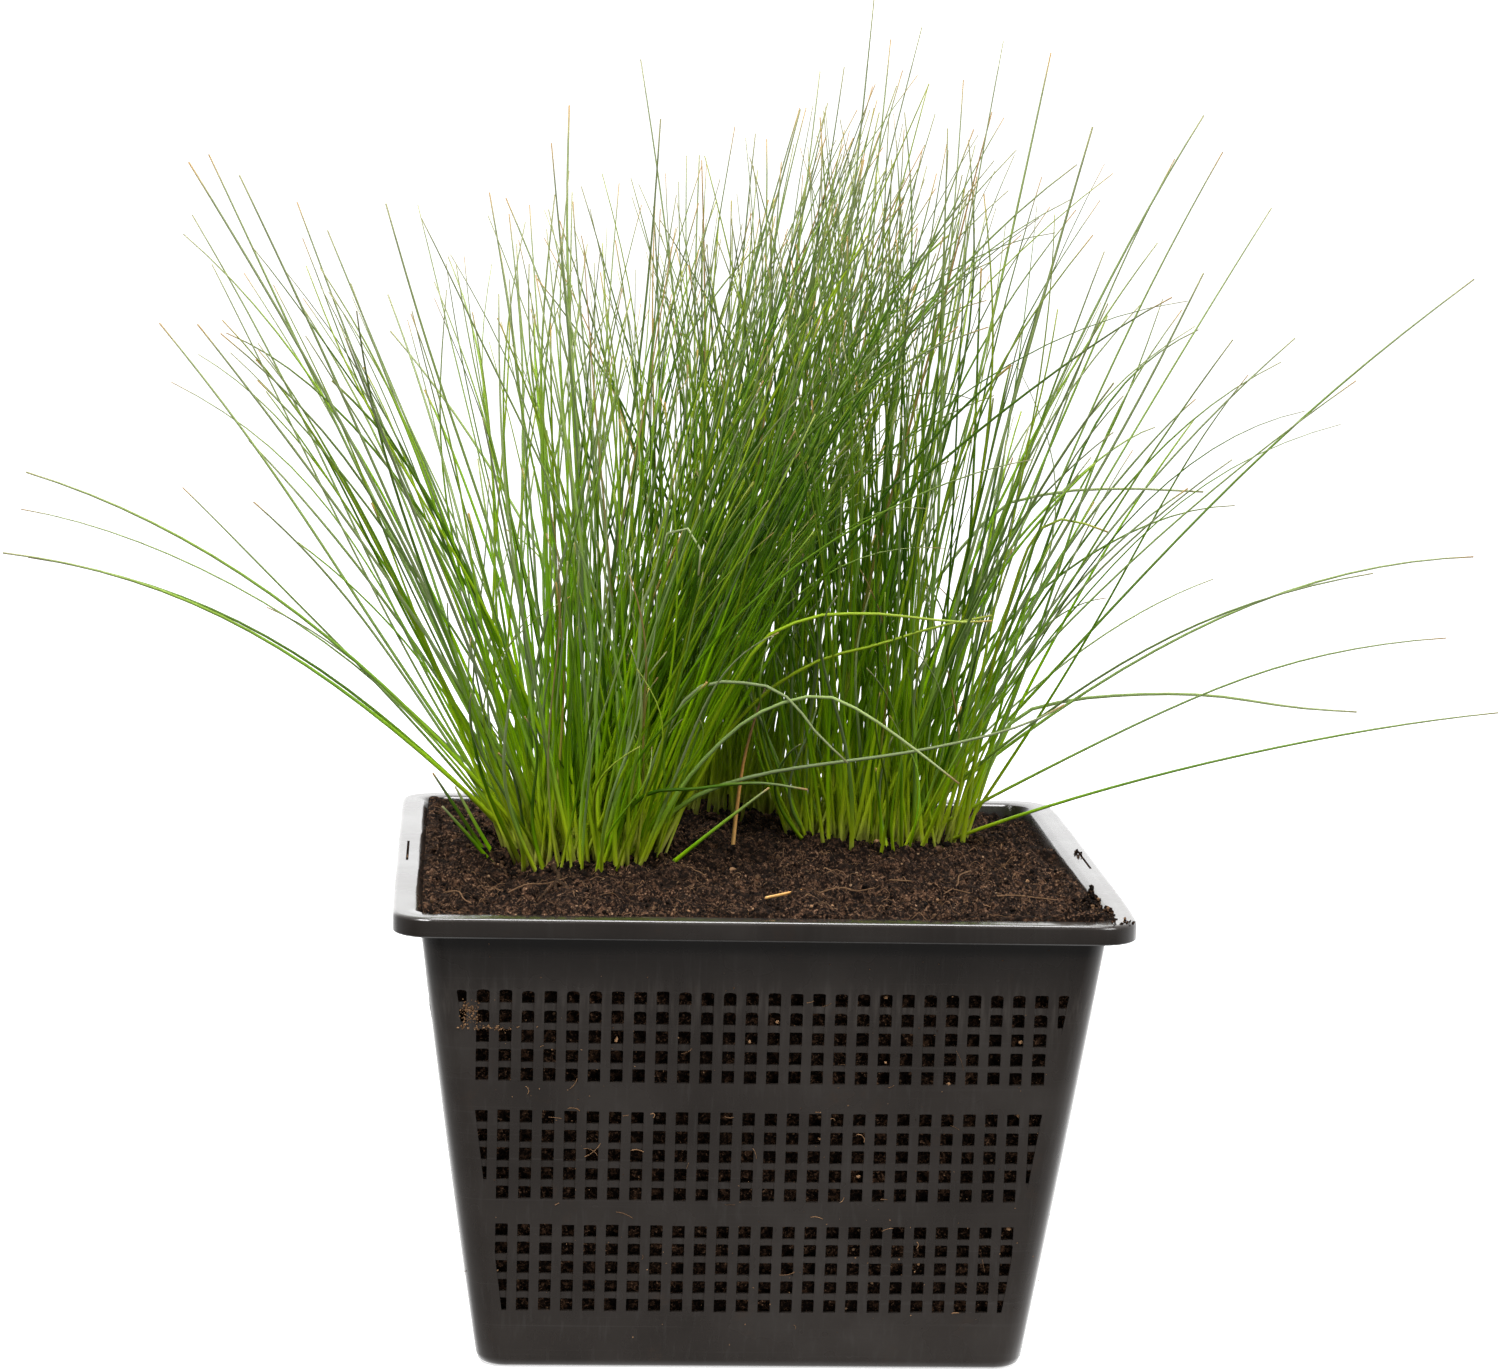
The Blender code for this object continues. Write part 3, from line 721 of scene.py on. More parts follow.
painted_shade = np.zeros(len(points))
# painted shade: deep dents in the block's sides are painted dark
painted_shade[:dent.size] = np.clip((dent.ravel() - 0.0014) * 700, 0, 0.85)
soil_block = add_piece("soil_block", points, faces, peat,
                       values={"tone": np.zeros(len(points)), "hollow": painted_shade}, turn_out=True)
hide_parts("soil")

# %% [markdown]
# ## Loose crumbs
# A smooth grid alone looks like cloth, so thousands of small loose crumbs lie on it. Each is the
# same twenty-sided ball, stretched and turned by chance. All of them are one mesh: the ball's
# twelve corners are multiplied by every crumb's own matrix in one array sum.

# %% Crumb builder
golden = (1 + math.sqrt(5)) / 2
ball = np.array([(-1, golden, 0), (1, golden, 0), (-1, -golden, 0), (1, -golden, 0),
                 (0, -1, golden), (0, 1, golden), (0, -1, -golden), (0, 1, -golden),
                 (golden, 0, -1), (golden, 0, 1), (-golden, 0, -1), (-golden, 0, 1)])
ball /= np.linalg.norm(ball, axis=1)[:, None]
ball_faces = np.array([
    (0, 11, 5), (0, 5, 1), (0, 1, 7), (0, 7, 10), (0, 10, 11), (1, 5, 9), (5, 11, 4),
    (11, 10, 2), (10, 7, 6), (7, 1, 8), (3, 9, 4), (3, 4, 2), (3, 2, 6), (3, 6, 8),
    (3, 8, 9), (4, 9, 5), (2, 4, 11), (6, 2, 10), (8, 6, 7), (9, 8, 1)])


def crumb_cloud(draw, middles, sizes, roughness=0.30):
    """Every crumb is the ball with its corners pulled in or out, stretched, turned and moved."""
    count = len(middles)
    corners = ball[None] * draw.uniform(1 - roughness, 1 + roughness, (count, len(ball), 1))
    corners = corners * draw.uniform(0.6, 1.25, (count, 1, 3))
    spin = np.linalg.qr(draw.normal(size=(count, 3, 3)))[0]
    spin *= np.sign(np.linalg.det(spin))[:, None, None]
    corners = np.einsum("nij,nkj->nki", spin, corners)
    points = middles[:, None] + corners * sizes[:, None, None]
    faces = ball_faces[None] + len(ball) * np.arange(count)[:, None, None]
    return points.reshape(-1, 3), faces.reshape(-1, 3)


def add_crumbs(name, cloud, **numbers):
    """A piece of crumbs. Each number is given once per crumb and kept on its twelve corners."""
    points, faces = cloud
    values = {title: np.repeat(number, len(ball)) for title, number in numbers.items()}
    return add_piece(name, points, [faces], peat, values=values)

# %% Crumbs on the soil
# middle and half widths of each clump's root ball
CLUMPS = {
    "front_left": ((-0.069, -0.012), (0.034, 0.044)),
    "right": ((0.055, 0.037), (0.038, 0.045)),
    "back": ((-0.006, 0.090), (0.036, 0.034)),
}
CRUMBS = 7000
FOOT_CRUMBS = 520
crumb_chance = np.random.default_rng(21)
spread_x = crumb_chance.uniform(-0.1262, 0.1262, CRUMBS)
spread_y = crumb_chance.uniform(-0.1265, 0.1262, CRUMBS)
spread_size = 0.0003 + 0.0015 * crumb_chance.beta(1.0, 5.5, CRUMBS)
foot_x, foot_y = [], []
for (middle_x, middle_y), (half_x, half_y) in CLUMPS.values():
    angle = crumb_chance.uniform(0, 2 * np.pi, FOOT_CRUMBS)
    away = crumb_chance.normal(1.02, 0.10, FOOT_CRUMBS)
    foot_x.append(middle_x + half_x * away * np.cos(angle))
    foot_y.append(middle_y + half_y * away * np.sin(angle))
crumb_x = np.concatenate([spread_x, *foot_x])
crumb_y = np.concatenate([spread_y, *foot_y])
foot_size = 0.0007 + 0.0021 * crumb_chance.beta(1.2, 3.0, 3 * FOOT_CRUMBS)
crumb_size = np.concatenate([spread_size, foot_size])
crumb_z = soil_top(crumb_x, crumb_y) + 0.25 * crumb_size
cloud = crumb_cloud(crumb_chance, np.column_stack([crumb_x, crumb_y, crumb_z]), crumb_size)
pale = crumb_chance.uniform(0, 1, len(crumb_x))
# one crumb in 67 is nearly white, one in eight a little paler, one in three dark; crumbs in low places also
# get the painted shade of the ground
tone = np.where(pale > 0.985, 0.90, np.where(pale > 0.86, 0.16, 0.0))
hollow = np.maximum(np.where(pale < 0.35, 0.80, 0.0), painted_hollow_shade(crumb_height(crumb_x, crumb_y)))
hollow[pale > 0.97] = 0
add_crumbs("soil_crumbs", cloud, tone=tone, hollow=hollow)

# %% [markdown]
# ## Spilled soil
# At the right front corner a little soil lies over the rim in ragged heaps. Single crumbs are
# scattered on the plastic beside it, and others are caught in the rim's two slots. Each heap is a
# place, a half width and a height, and its crumbs fill the cone that these describe.

# %% Spill
# middle x and y, half width, height
SPILL_HEAPS = ((0.1275, -0.1000, 0.0042, 0.0095), (0.1262, -0.1070, 0.0040, 0.0050),
               (0.1312, -0.1190, 0.0026, 0.0050), (0.1290, -0.1230, 0.0045, 0.0028),
               (0.1265, -0.1160, 0.0050, 0.0028))
HEAP_CRUMBS = 210
RIGHT_STRAYS = 8
CORNER_STRAYS = 18
SLOT_CRUMBS = 60
spill_chance = np.random.default_rng(22)
heap_x, heap_y, heap_wide, heap_high = np.repeat(np.array(SPILL_HEAPS), HEAP_CRUMBS, axis=0).T
way_round = spill_chance.uniform(0, 2 * np.pi, len(heap_x))
way_out = np.sqrt(spill_chance.uniform(0, 1, len(heap_x)))
heap_lift = spill_chance.uniform(0, 1, len(heap_x)) * heap_high * (1 - way_out ** 1.5)
heaps = np.column_stack([heap_x + heap_wide * way_out * np.cos(way_round),
                         heap_y + heap_wide * way_out * np.sin(way_round),
                         BASKET_TOP - 0.001 + heap_lift])
stray_x = np.concatenate([spill_chance.normal(0.1375, 0.0012, RIGHT_STRAYS),
                          spill_chance.normal(0.134, 0.003, CORNER_STRAYS)])
stray_y = np.concatenate([spill_chance.normal(0.008, 0.006, RIGHT_STRAYS),
                          spill_chance.normal(-0.131, 0.003, CORNER_STRAYS)])
strays = np.column_stack([np.clip(stray_x, 0.131, 0.139), stray_y,
                          np.full(len(stray_x), BASKET_TOP + 0.0003)])
slot_along = spill_chance.uniform(*column_middles[list(SLOT_COLUMNS)], 2 * SLOT_CRUMBS)
slot_x = np.repeat((-1, 1), SLOT_CRUMBS) * (SLOT_INNER + SLOT_OUTER) / 2
slot_x += side_bow(slot_x, slot_along, 1.0)
in_slots = np.column_stack([slot_x, slot_along, np.full(len(slot_x), BASKET_TOP - 0.0011)])
sizes = np.concatenate([0.0005 + 0.0012 * spill_chance.beta(1.3, 3.0, len(heaps)),
                        spill_chance.uniform(0.0003, 0.0008, len(strays)),
                        np.full(len(in_slots), 0.0007)])
cloud = crumb_cloud(spill_chance, np.concatenate([heaps, strays, in_slots]), sizes)
pale = spill_chance.uniform(0, 1, len(sizes))
add_crumbs("spilled_soil", cloud, tone=np.where(pale > 0.93, 0.4, 0.0),
           hollow=np.where(pale < 0.4, 0.6, 0.0))

# %% [markdown]
# ## Tubes
# Grass stems, root threads and straw are all tapered tubes: a ring of corners carried along a
# path. The ring must not spin on its way, so its first side is held level by a fixed direction
# for each tube. Thousands of tubes come out of one array of shape (tubes, steps, corners, 3).

# %% Tube builder
def tubes(paths, radii, keep_level, corners=5, flatness=1.0):
    """Rings along each path; ring corner = path + radius * (cos a * side + sin a * over).

    paths (n, m, 3), radii (n, m) or (n, 1). keep_level (n, 3) or (3) is a direction that no path
    follows.
    """
    count, steps_along, _ = paths.shape
    ahead_of = np.gradient(paths, axis=1)
    ahead_of /= np.linalg.norm(ahead_of, axis=2, keepdims=True)
    over = np.cross(ahead_of, np.reshape(keep_level, (-1, 1, 3)))
    over /= np.linalg.norm(over, axis=2, keepdims=True)
    aside = np.cross(over, ahead_of)
    angle = 2 * np.pi * np.arange(corners) / corners
    offsets = (np.cos(angle)[:, None] * aside[:, :, None]
               + flatness * np.sin(angle)[:, None] * over[:, :, None])
    rings = paths[:, :, None] + radii[:, :, None, None] * offsets
    body = np.concatenate([rings.reshape(count, -1, 3), paths[:, :1], paths[:, -1:]], axis=1)
    quads = grid_cells(steps_along, corners, round_about=True).reshape(-1, 4)
    ring = np.arange(corners)
    foot = fan(ring, steps_along * corners, facing_down=True)
    tip = fan((steps_along - 1) * corners + ring, steps_along * corners + 1)
    shift = body.shape[1] * np.arange(count)[:, None, None]
    faces = [(part[None] + shift).reshape(-1, part.shape[1])
             for part in (quads, np.concatenate([foot, tip]))]
    return body.reshape(-1, 3), faces


def per_point(numbers, steps, corners=5):
    """Spread numbers given for each tube (n, 1), or each step of it (n, m), to all its points."""
    numbers = np.broadcast_to(numbers, (len(numbers), steps))
    rings = np.repeat(numbers, corners, axis=1)
    return np.concatenate([rings, numbers[:, :1], numbers[:, -1:]], axis=1).ravel()


def add_tubes(name, paths, radii, keep_level, finish, slot, corners=5, flatness=1.0, **numbers):
    """A piece of tubes. Each number is given per tube or per step, and kept on all points."""
    points, faces = tubes(paths, radii, keep_level, corners, flatness)
    values = {title: per_point(number, paths.shape[1], corners) for title, number in numbers.items()}
    return add_piece(name, points, faces, finish, values=values)


def smooth_path(knots, count):
    """A curve through all knots, read at even steps: each piece is a Catmull-Rom cubic."""
    padded = np.concatenate([2 * knots[:1] - knots[1:2], knots, 2 * knots[-1:] - knots[-2:-1]])
    reading = np.linspace(0, len(knots) - 1, 12 * count)
    piece = np.minimum(reading.astype(int), len(knots) - 2)
    t = (reading - piece)[:, None]
    a, b, c, d = (padded[piece + step] for step in range(4))
    fine = 0.5 * (2 * b + (c - a) * t + (2 * a - 5 * b + 4 * c - d) * t ** 2
                  + (3 * b - a - 3 * c + d) * t ** 3)
    travelled = np.concatenate([[0], np.cumsum(np.linalg.norm(np.diff(fine, axis=0), axis=1))])
    even = np.linspace(0, travelled[-1], count)
    return np.column_stack([np.interp(even, travelled, fine[:, axis]) for axis in range(3)])


def wander(starts, heading, step_length):
    """x and y of paths that take one step along each heading: start + running sum of the steps."""
    steps = np.stack([np.cos(heading), np.sin(heading)]) * step_length
    return starts.T[..., None] + np.cumsum(steps, axis=2)


def peat_tubes(name, knot_lists, end_radii, tone, count=10):
    """A piece of tubes that follow listed points in mm, with a lumpy, tapering radius."""
    paths = np.array([smooth_path(np.array(knots, dtype=float) / 1000, count) for knots in knot_lists])
    share = np.linspace(0, 1, count)
    radii = end_radii[0] + (end_radii[1] - end_radii[0]) * share
    radii = np.tile(radii * (1 + 0.15 * np.sin(share * 17)), (len(paths), 1))
    level = np.cross(paths[:, -1] - paths[:, 0], (0.21, 0.13, 0.97))
    level /= np.linalg.norm(level, axis=1)[:, None]
    add_tubes(name, paths, radii, level, peat, "peat", tone=np.full((len(paths), 1), tone))

# %% [markdown]
# ## Root threads
# Fine tan and reddish root threads lie across the peat in loose curves. Each is a short path that
# wanders over the soil: its heading bends and wavers from step to step, and its points are then
# dropped to the height of the soil below them. A forked root and six longer ones follow listed
# points.

# %% Root threads
THREADS = 900
THREAD_STEPS = 9
thread_chance = np.random.default_rng(31)
starts = np.column_stack([
    thread_chance.uniform(-0.124, 0.124, THREADS), thread_chance.uniform(-0.125, 0.120, THREADS)])
heading = thread_chance.uniform(0, 2 * np.pi, (THREADS, 1))
length = 0.0025 + 0.020 * thread_chance.beta(1.1, 4.5, (THREADS, 1))
walk = np.linspace(0, 1, THREAD_STEPS)[None, :]
bend = thread_chance.normal(0, 0.6, (THREADS, 1)) * walk
wiggle = 0.15 * np.sin(walk * thread_chance.uniform(3, 8, (THREADS, 1)))
x, y = np.clip(wander(starts, heading + bend + wiggle, length / THREAD_STEPS), -0.1268, 0.1268)
lift = 0.0006 + 0.0020 * np.sin(np.pi * walk) * thread_chance.uniform(0, 1, (THREADS, 1)) ** 2
ground = crumb_height(x, y)
softened = (ground + np.roll(ground, 1, axis=1) + np.roll(ground, -1, axis=1)) / 3
paths = np.stack([x, y, soil_level(x, y) + softened + lift], axis=-1)
radii = thread_chance.uniform(0.00006, 0.00018, (THREADS, 1)) * (1.15 - 0.5 * walk)
tone = thread_chance.beta(1.1, 2.6, (THREADS, 1))
add_tubes("root_threads", paths, radii, (0, 0, 1), peat, "peat", corners=4, tone=tone)

# %% Twigs
# every path as points in mm
TWIGS = (
    ((-78, -50, 191), (-79, -60, 188.5), (-77, -74, 188), (-79, -92, 187), (-77, -110, 185.5)),
    ((-78, -86, 187.5), (-81, -93, 187), (-83, -100, 186), (-86, -107, 184.5)),
    ((-78, -84, 187.5), (-75, -92, 187.5), (-74, -99, 186.5), (-70, -105, 184.5)),
)
peat_tubes("twigs", TWIGS, (0.0011, 0.0005), 0.06)

LONG_ROOTS = (
    ((-97, -102, 186.5), (-90, -93, 188), (-82, -88, 187.5), (-74, -80, 188.5)),
    ((-121, -101, 186), (-116, -106, 187.5), (-114, -113, 186), (-111, -122, 186)),
    ((52, -72, 187.5), (62, -80, 188.5), (71, -81, 187), (84, -92, 186)),
    ((86, -53, 188), (80, -66, 188.5), (78, -78, 187), (71, -94, 186.5)),
    ((88, -101, 187), (97, -104, 188.2), (104, -101, 187), (114, -106, 187)),
    ((22, -96, 186.5), (31, -91, 188), (37, -93, 187), (45, -86, 187)),
)
peat_tubes("long_roots", LONG_ROOTS, (0.00034, 0.00020), 0.42)

# %% [markdown]
# ## Dirt stuck to the basket
# Peat dust, root threads and pale crumbs stick to the outside of the lattice, most of them near
# the upper left of the front. Each lies on the wall: its place is a height and a distance along
# one wall, and the wall's own slope and swell give the rest.

# %% Dirt on the walls
SPECKS = 700
DIRT_HEIGHTS = (0.150, 0.118, 0.068, 0.035)
# on the front wall: how many crumbs, how far they spread along and up, and their middle
DIRT_PATCH = ((60, (0.0012, 0.0030), (-0.1125, 0.1440)), (50, (0.0018, 0.0009), (-0.1108, 0.1462)),
              (30, (0.0009, 0.0024), (-0.1085, 0.1430)), (60, (0.0065, 0.0005), (-0.1040, 0.1388)))


def on_wall(side, along_wall, height_of, lift_off):
    """A point on the outside of wall 0 to 3: half width plus swell plus a small lift, turned."""
    outside = wall_half(height_of) + swell(along_wall, height_of) + lift_off
    return turned(along_wall, -outside, height_of, side)


dirt_chance = np.random.default_rng(41)
speck_side = dirt_chance.integers(0, 4, SPECKS)
speck_along = dirt_chance.uniform(-0.110, 0.110, SPECKS)
speck_height = np.clip(dirt_chance.choice(DIRT_HEIGHTS, SPECKS)
                       + dirt_chance.normal(0, 0.014, SPECKS), 0.006, 0.172)
patch = np.concatenate([dirt_chance.normal(0, 1, (count, 2)) * spread + middle
                        for count, spread, middle in DIRT_PATCH])
places = np.concatenate([on_wall(speck_side, speck_along, speck_height, 0.0),
                         on_wall(np.zeros(len(patch)), *patch.T, 0.0)])
sizes = np.concatenate([dirt_chance.uniform(0.00012, 0.00034, SPECKS),
                        dirt_chance.uniform(0.00016, 0.00046, len(patch))])
cloud = crumb_cloud(dirt_chance, places, sizes)
add_crumbs("wall_dirt", cloud, tone=np.concatenate(
    [dirt_chance.uniform(0.0, 0.8, SPECKS), dirt_chance.uniform(0.2, 0.9, len(patch))]))

# %% Pale grains in the holes
# along the front wall and up, in mm
GRAINS = np.array((
    (-45.1, 132.4), (-4.7, 134.1), (-55.4, 134.3), (23.3, 95.5), (-49.8, 43.0), (47.6, 126.3),
    (99.1, 134.8), (98.3, 58.9), (46.6, 152.5), (99.6, 105.5), (63.9, 44.3), (38.9, 80.3),
    (5.7, 142.1), (72.1, 117.7), (-101.1, 144.9))) / 1000
grain_places = on_wall(np.zeros(len(GRAINS)), *GRAINS.T, -0.0020)
cloud = crumb_cloud(dirt_chance, grain_places, np.full(len(GRAINS), 0.0010))
add_crumbs("pale_grains", cloud, tone=np.ones(len(GRAINS)))

# %% Threads on the walls
HAIRS = 150
HAIR_STEPS = 8
side = dirt_chance.integers(0, 4, (HAIRS, 1))
starts = np.column_stack([dirt_chance.uniform(-0.095, 0.095, HAIRS),
                          dirt_chance.uniform(0.012, 0.158, HAIRS)])
walk = np.linspace(0, 1, HAIR_STEPS)[None]
heading = dirt_chance.normal(0, 0.6, (HAIRS, 1)) + walk * dirt_chance.normal(0, 1.3, (HAIRS, 1))
length = 0.002 + 0.010 * dirt_chance.beta(1.2, 3, (HAIRS, 1))
along_wall, up = wander(starts, heading, length / HAIR_STEPS)
radii = dirt_chance.uniform(0.00008, 0.00018, (HAIRS, 1))
tone = dirt_chance.uniform(0.2, 0.9, (HAIRS, 1))
add_tubes("wall_threads", on_wall(side, along_wall, up, 0.00012), radii, (0.12, 0.21, 0.97),
          peat, "peat", corners=4, tone=tone)

# %% [markdown]
# ## Grass finish
# A stem is yellow green at its foot, deep green in the middle, and olive above, with a dry tan
# tip. Each stem carries a `tone` from dark to bright: chance times the painted light and shade of
# its sheaf, so inner sheaves are painted darker and outer ones brighter. A second number runs from
# yellow over green, and at its high end lays a painted pale bluish sheen on the stem above its foot.
# Every point knows how far `along` the stem it is, and `dry` says how withered it is there. Two
# colour ramps along the stem, a bright and a dark one, are mixed by tone.

# %% Grass finish
grass = new_finish("grass_green", 0.38, 0.09)
stem_along = grass.kept_number("along")
stem_hue = grass.kept_number("hue")
bright_stem = grass.ramp(
    stem_along, (0.00, (0.66, 0.62, 0.180)), (0.07, (0.50, 0.63, 0.018)), (0.19, (0.32, 0.60, 0.002)),
    (0.38, (0.180, 0.41, 0.005)), (0.70, (0.25, 0.41, 0.036)), (1.00, (0.36, 0.39, 0.200)))
dark_stem = grass.ramp(
    stem_along, (0.00, (0.60, 0.56, 0.170)), (0.07, (0.35, 0.46, 0.013)),
    (0.19, (0.118, 0.250, 0.0008)), (0.42, (0.011, 0.048, 0.0003)), (0.72, (0.038, 0.102, 0.004)),
    (1.00, (0.16, 0.185, 0.085)))
# painted sheen: a pale bluish grey laid on stems with a high hue number, above the foot, standing in for the
# silvery shine of thin stems
painted_sheen = grass.mix(1.0, grass.ramp(stem_hue, (0.0, 0.0), (0.55, 0.0), (0.92, 0.70)),
                  grass.ramp(stem_along, (0.10, 0.0), (0.36, 1.0)), "MULTIPLY")
grass.give(Base_Color=grass.layered(
    grass.mix(grass.kept_number("tone"), dark_stem, bright_stem),
    (painted_sheen, (0.300, 0.348, 0.185)),
    (stem_hue, (0.0, 0.55), (0.16, 0.0), (1.0, 0.0), (0.36, 0.48, 0.012)),
    (grass.noise((90, 90, 22), 2.0), (0.50, 0.0), (0.80, 0.35), (0.13, 0.165, 0.016)),
    (grass.kept_number("dry"), (0.42, 0.23, 0.085))))
print("grass finish:", len(grass.nodes), "nodes")

# %% [markdown]
# ## Where the stems grow
# Each clump is a few sheaves: groups of stems that share a part of the root ball and a lean. A
# stem's place in its patch decides part of its lean, so every sheaf opens like a fan. Heights
# differ a lot, which thins the clump toward its top, and a ceiling keeps chance stems below the
# outline that the longest stems draw. Over a quarter of the stems were clipped once and end
# bluntly.

# %% Stem planner
# clump, number, painted light and shade (a factor on tone: below 1 paints an inner sheaf darker,
# above 1 an outer one brighter), middle and size of its part of the root ball, lean, fan, jitter,
# height and its spread
SHEAVES = (
    ("front_left", 34, 1.9, (-0.24, 0), 0.60, (-0.114, 0), (0, 0.08), (0.024, 0.028), 0.280, 0.026),
    ("front_left", 118, 1.65, (0.10, 0), 0.84, (-0.003, 0.005), (-0.02, 0.07), (0.032, 0.034), 0.264, 0.058),
    ("front_left", 170, 0.55, (0.30, 0.05), 0.75, (0.1, 0.008), (-0.02, 0.05), (0.042, 0.032), 0.231, 0.056),
    ("front_left", 80, 1.0, (0.05, -0.3), 0.90, (0, -0.005), (0.03, 0.04), (0.014, 0.016), 0.110, 0.040),
    ("right", 136, 0.60, (-0.20, 0), 0.85, (0.004, 0.005), (-0.02, 0.07), (0.036, 0.034), 0.265, 0.055),
    ("right", 50, 1.9, (0.35, 0), 0.65, (0.070, 0.005), (0, 0.08), (0.042, 0.032), 0.220, 0.060),
    ("right", 70, 1.0, (0, -0.3), 0.90, (0, -0.005), (0.03, 0.04), (0.012, 0.016), 0.110, 0.040),
    ("back", 110, 0.45, (0, 0), 0.90, (0.012, 0.030), (-0.02, 0.06), (0.034, 0.030), 0.278, 0.050),
    ("back", 60, 0.66, (0, 0), 0.90, (0.060, 0.020), (-0.01, 0.05), (0.028, 0.030), 0.322, 0.014),
)
# x, and the greatest height of a sheaf's tips there
CEILING = np.array((
    (-0.300, 0.290), (-0.245, 0.360), (-0.215, 0.425), (-0.150, 0.445), (-0.100, 0.460),
    (-0.040, 0.465), (0.010, 0.480), (0.060, 0.505), (0.110, 0.490), (0.150, 0.450),
    (0.200, 0.415), (0.250, 0.360), (0.300, 0.290)))
STEM_STEPS = 19
FOOT_DEPTH = 0.004
CLIPPED_SHARE = 0.28
CLIPPED_ENDS = (0.55, 0.95)
TALLEST = 0.335
# least and greatest x and y of a sheaf's tips, and of every arched stem
TIP_BOX = ((-0.285, -0.180), (0.290, 0.240))
STEM_BOX = ((-0.298, -0.187), (0.303, 0.247))


def spots_in_disk(draw, count):
    """Even chance over a disk of radius 1: the radius is the root of an even number."""
    angle = draw.uniform(0, 2 * np.pi, count)
    distance = np.sqrt(draw.uniform(0, 1, count))
    return np.column_stack([distance * np.cos(angle), distance * np.sin(angle)])


def grow_sheaf(draw, clump, count, middle, size, lean, fan, jitter, height_mean, height_spread):
    """Root, tip and rise of every stem of one sheaf: lean + place * fan + chance gives its tip."""
    centre, half_widths = (np.array(pair) for pair in CLUMPS[clump])
    place = np.array(middle) + size * spots_in_disk(draw, count)
    place /= np.maximum(1, np.linalg.norm(place, axis=1))[:, None]
    root = centre + place * half_widths
    tall = np.clip(draw.normal(height_mean, height_spread, count), 0.5 * height_mean, TALLEST)
    out = np.array(lean) + place * np.array(fan) + draw.normal(0, 1, (count, 2)) * np.array(jitter)
    # a short stem leans out less, and a stem that reaches far out ends lower
    out *= (0.35 + 0.65 * tall / height_mean)[:, None]
    reach = np.linalg.norm(out, axis=1)
    tall = tall - 0.2 * reach ** 2 / (tall + 0.05)
    ground = soil_level(root[:, 0], root[:, 1])
    tip = root + out
    tip[:, :2] = np.clip(tip[:, :2], *TIP_BOX)
    roof = np.interp(tip[:, 0], CEILING[:, 0], CEILING[:, 1]) - draw.uniform(0, 0.05, count)
    tip_height = np.minimum(ground + tall, roof)
    # the further out, the more a stem arches over
    droop = draw.uniform(0.0, 0.4, count) + 0.28 * np.clip(reach / 0.12, 0, 1) ** 2
    rise = 0.004 + reach ** 2 / (reach + tall) * droop
    return (np.column_stack([root, ground - FOOT_DEPTH]), np.column_stack([tip, tip_height]), rise)


def arches(roots, tips, rises, sways, twists, flicks, ends):
    """Line + rise * 4s(1-s) up + sway * sin(pi s) + twist * sin(2 pi s) + flick * s^3 sideways.

    s runs from 0 to each stem's own end: 1 for a whole stem, less for a clipped one.
    """
    s = np.linspace(0, 1, STEM_STEPS)[None, :, None] * ends[:, None, None]
    line = roots[:, None] + (tips - roots)[:, None] * s
    bow = 4 * s * (1 - s)
    upward = np.array((0.0, 0.0, 1.0))
    aside = (np.sin(np.pi * s) * sways[:, None] + np.sin(2 * np.pi * s) * twists[:, None]
             + s ** 3 * flicks[:, None])
    return line + rises[:, None, None] * bow * upward + aside

# %% [markdown]
# ## Stems that can be told apart
# The long stems that draw the outline of the grass are placed one by one: their tips were
# measured. Each is given by its tip in millimetres; the rise is chosen from its lean. A few
# stems bend over or hook, and those follow points of their own.

# %% Outline stems: tip in mm
OUTLINE_TIPS = {
    "front_left": (
        (-297, -20, 304, 48), (-296, 40, 315, 52), (-284, -60, 340, 46), (-295, 60, 293, 44),
        (-230, 30, 326, 22), (-198, -40, 328, 20), (-205, 60, 343, 18), (-192, -50, 288, 26),
        (-239, 20, 393, 15), (-219, -60, 398, 14), (-224, -40, 459, 10), (-221, 40, 460, 12),
        (-230, 80, 434, 12), (-202, -90, 456, 10), (-185, 30, 442, 10), (-175, 100, 428, 14),
        (-216, -20, 419, 10), (-208, 70, 411, 12), (-147, -100, 447, 12), (-137, 60, 441, 10),
        (-137, -80, 406, 10), (-108, 20, 448, 8), (-85, -60, 470, 8), (-76, 50, 483, 10),
        (-43, -50, 480, 6), (10, -60, 485, 12), (-110, -190, 375, 36), (-10, -185, 390, 30),
        (-60, -150, 420, 20), (-160, -150, 400, 26), (40, -140, 430, 26), (-150, 130, 400, 20)),
    "right": (
        (293, 20, 422, 22), (234, -40, 384, 24), (228, 60, 394, 26), (179, -70, 401, 16),
        (304, 40, 306, 55), (240, -60, 310, 40), (284, 0, 277, 36), (295, -50, 254, 18),
        (214, 50, 448, 20), (179, -30, 472, 30), (186, 60, 485, 40), (181, 100, 466, 34),
        (123, -60, 481, 10), (127, -90, 415, 10), (119, 40, 509, 15), (91, -30, 513, 10),
        (88, 80, 497, 8), (175, -20, 424, 14), (201, 80, 290, 30), (120, -160, 390, 30),
        (150, 210, 360, 36), (170, -130, 360, 30), (110, 170, 440, 20), (60, -120, 440, 20)),
    "back": (
        (48, 60, 529, 4), (65, 30, 518, 6), (61, 120, 513, 6), (29, 90, 499, 6),
        (-20, 100, 463, 8), (-44, 140, 502, 8), (-150, 200, 380, 30), (-60, 245, 370, 36),
        (40, 248, 400, 26), (100, 220, 420, 26), (-100, 190, 440, 20), (-20, 210, 460, 16)),
}
ROOT_SHARES = (0.05, 0.65)
OUTLINE_RISE = 0.52


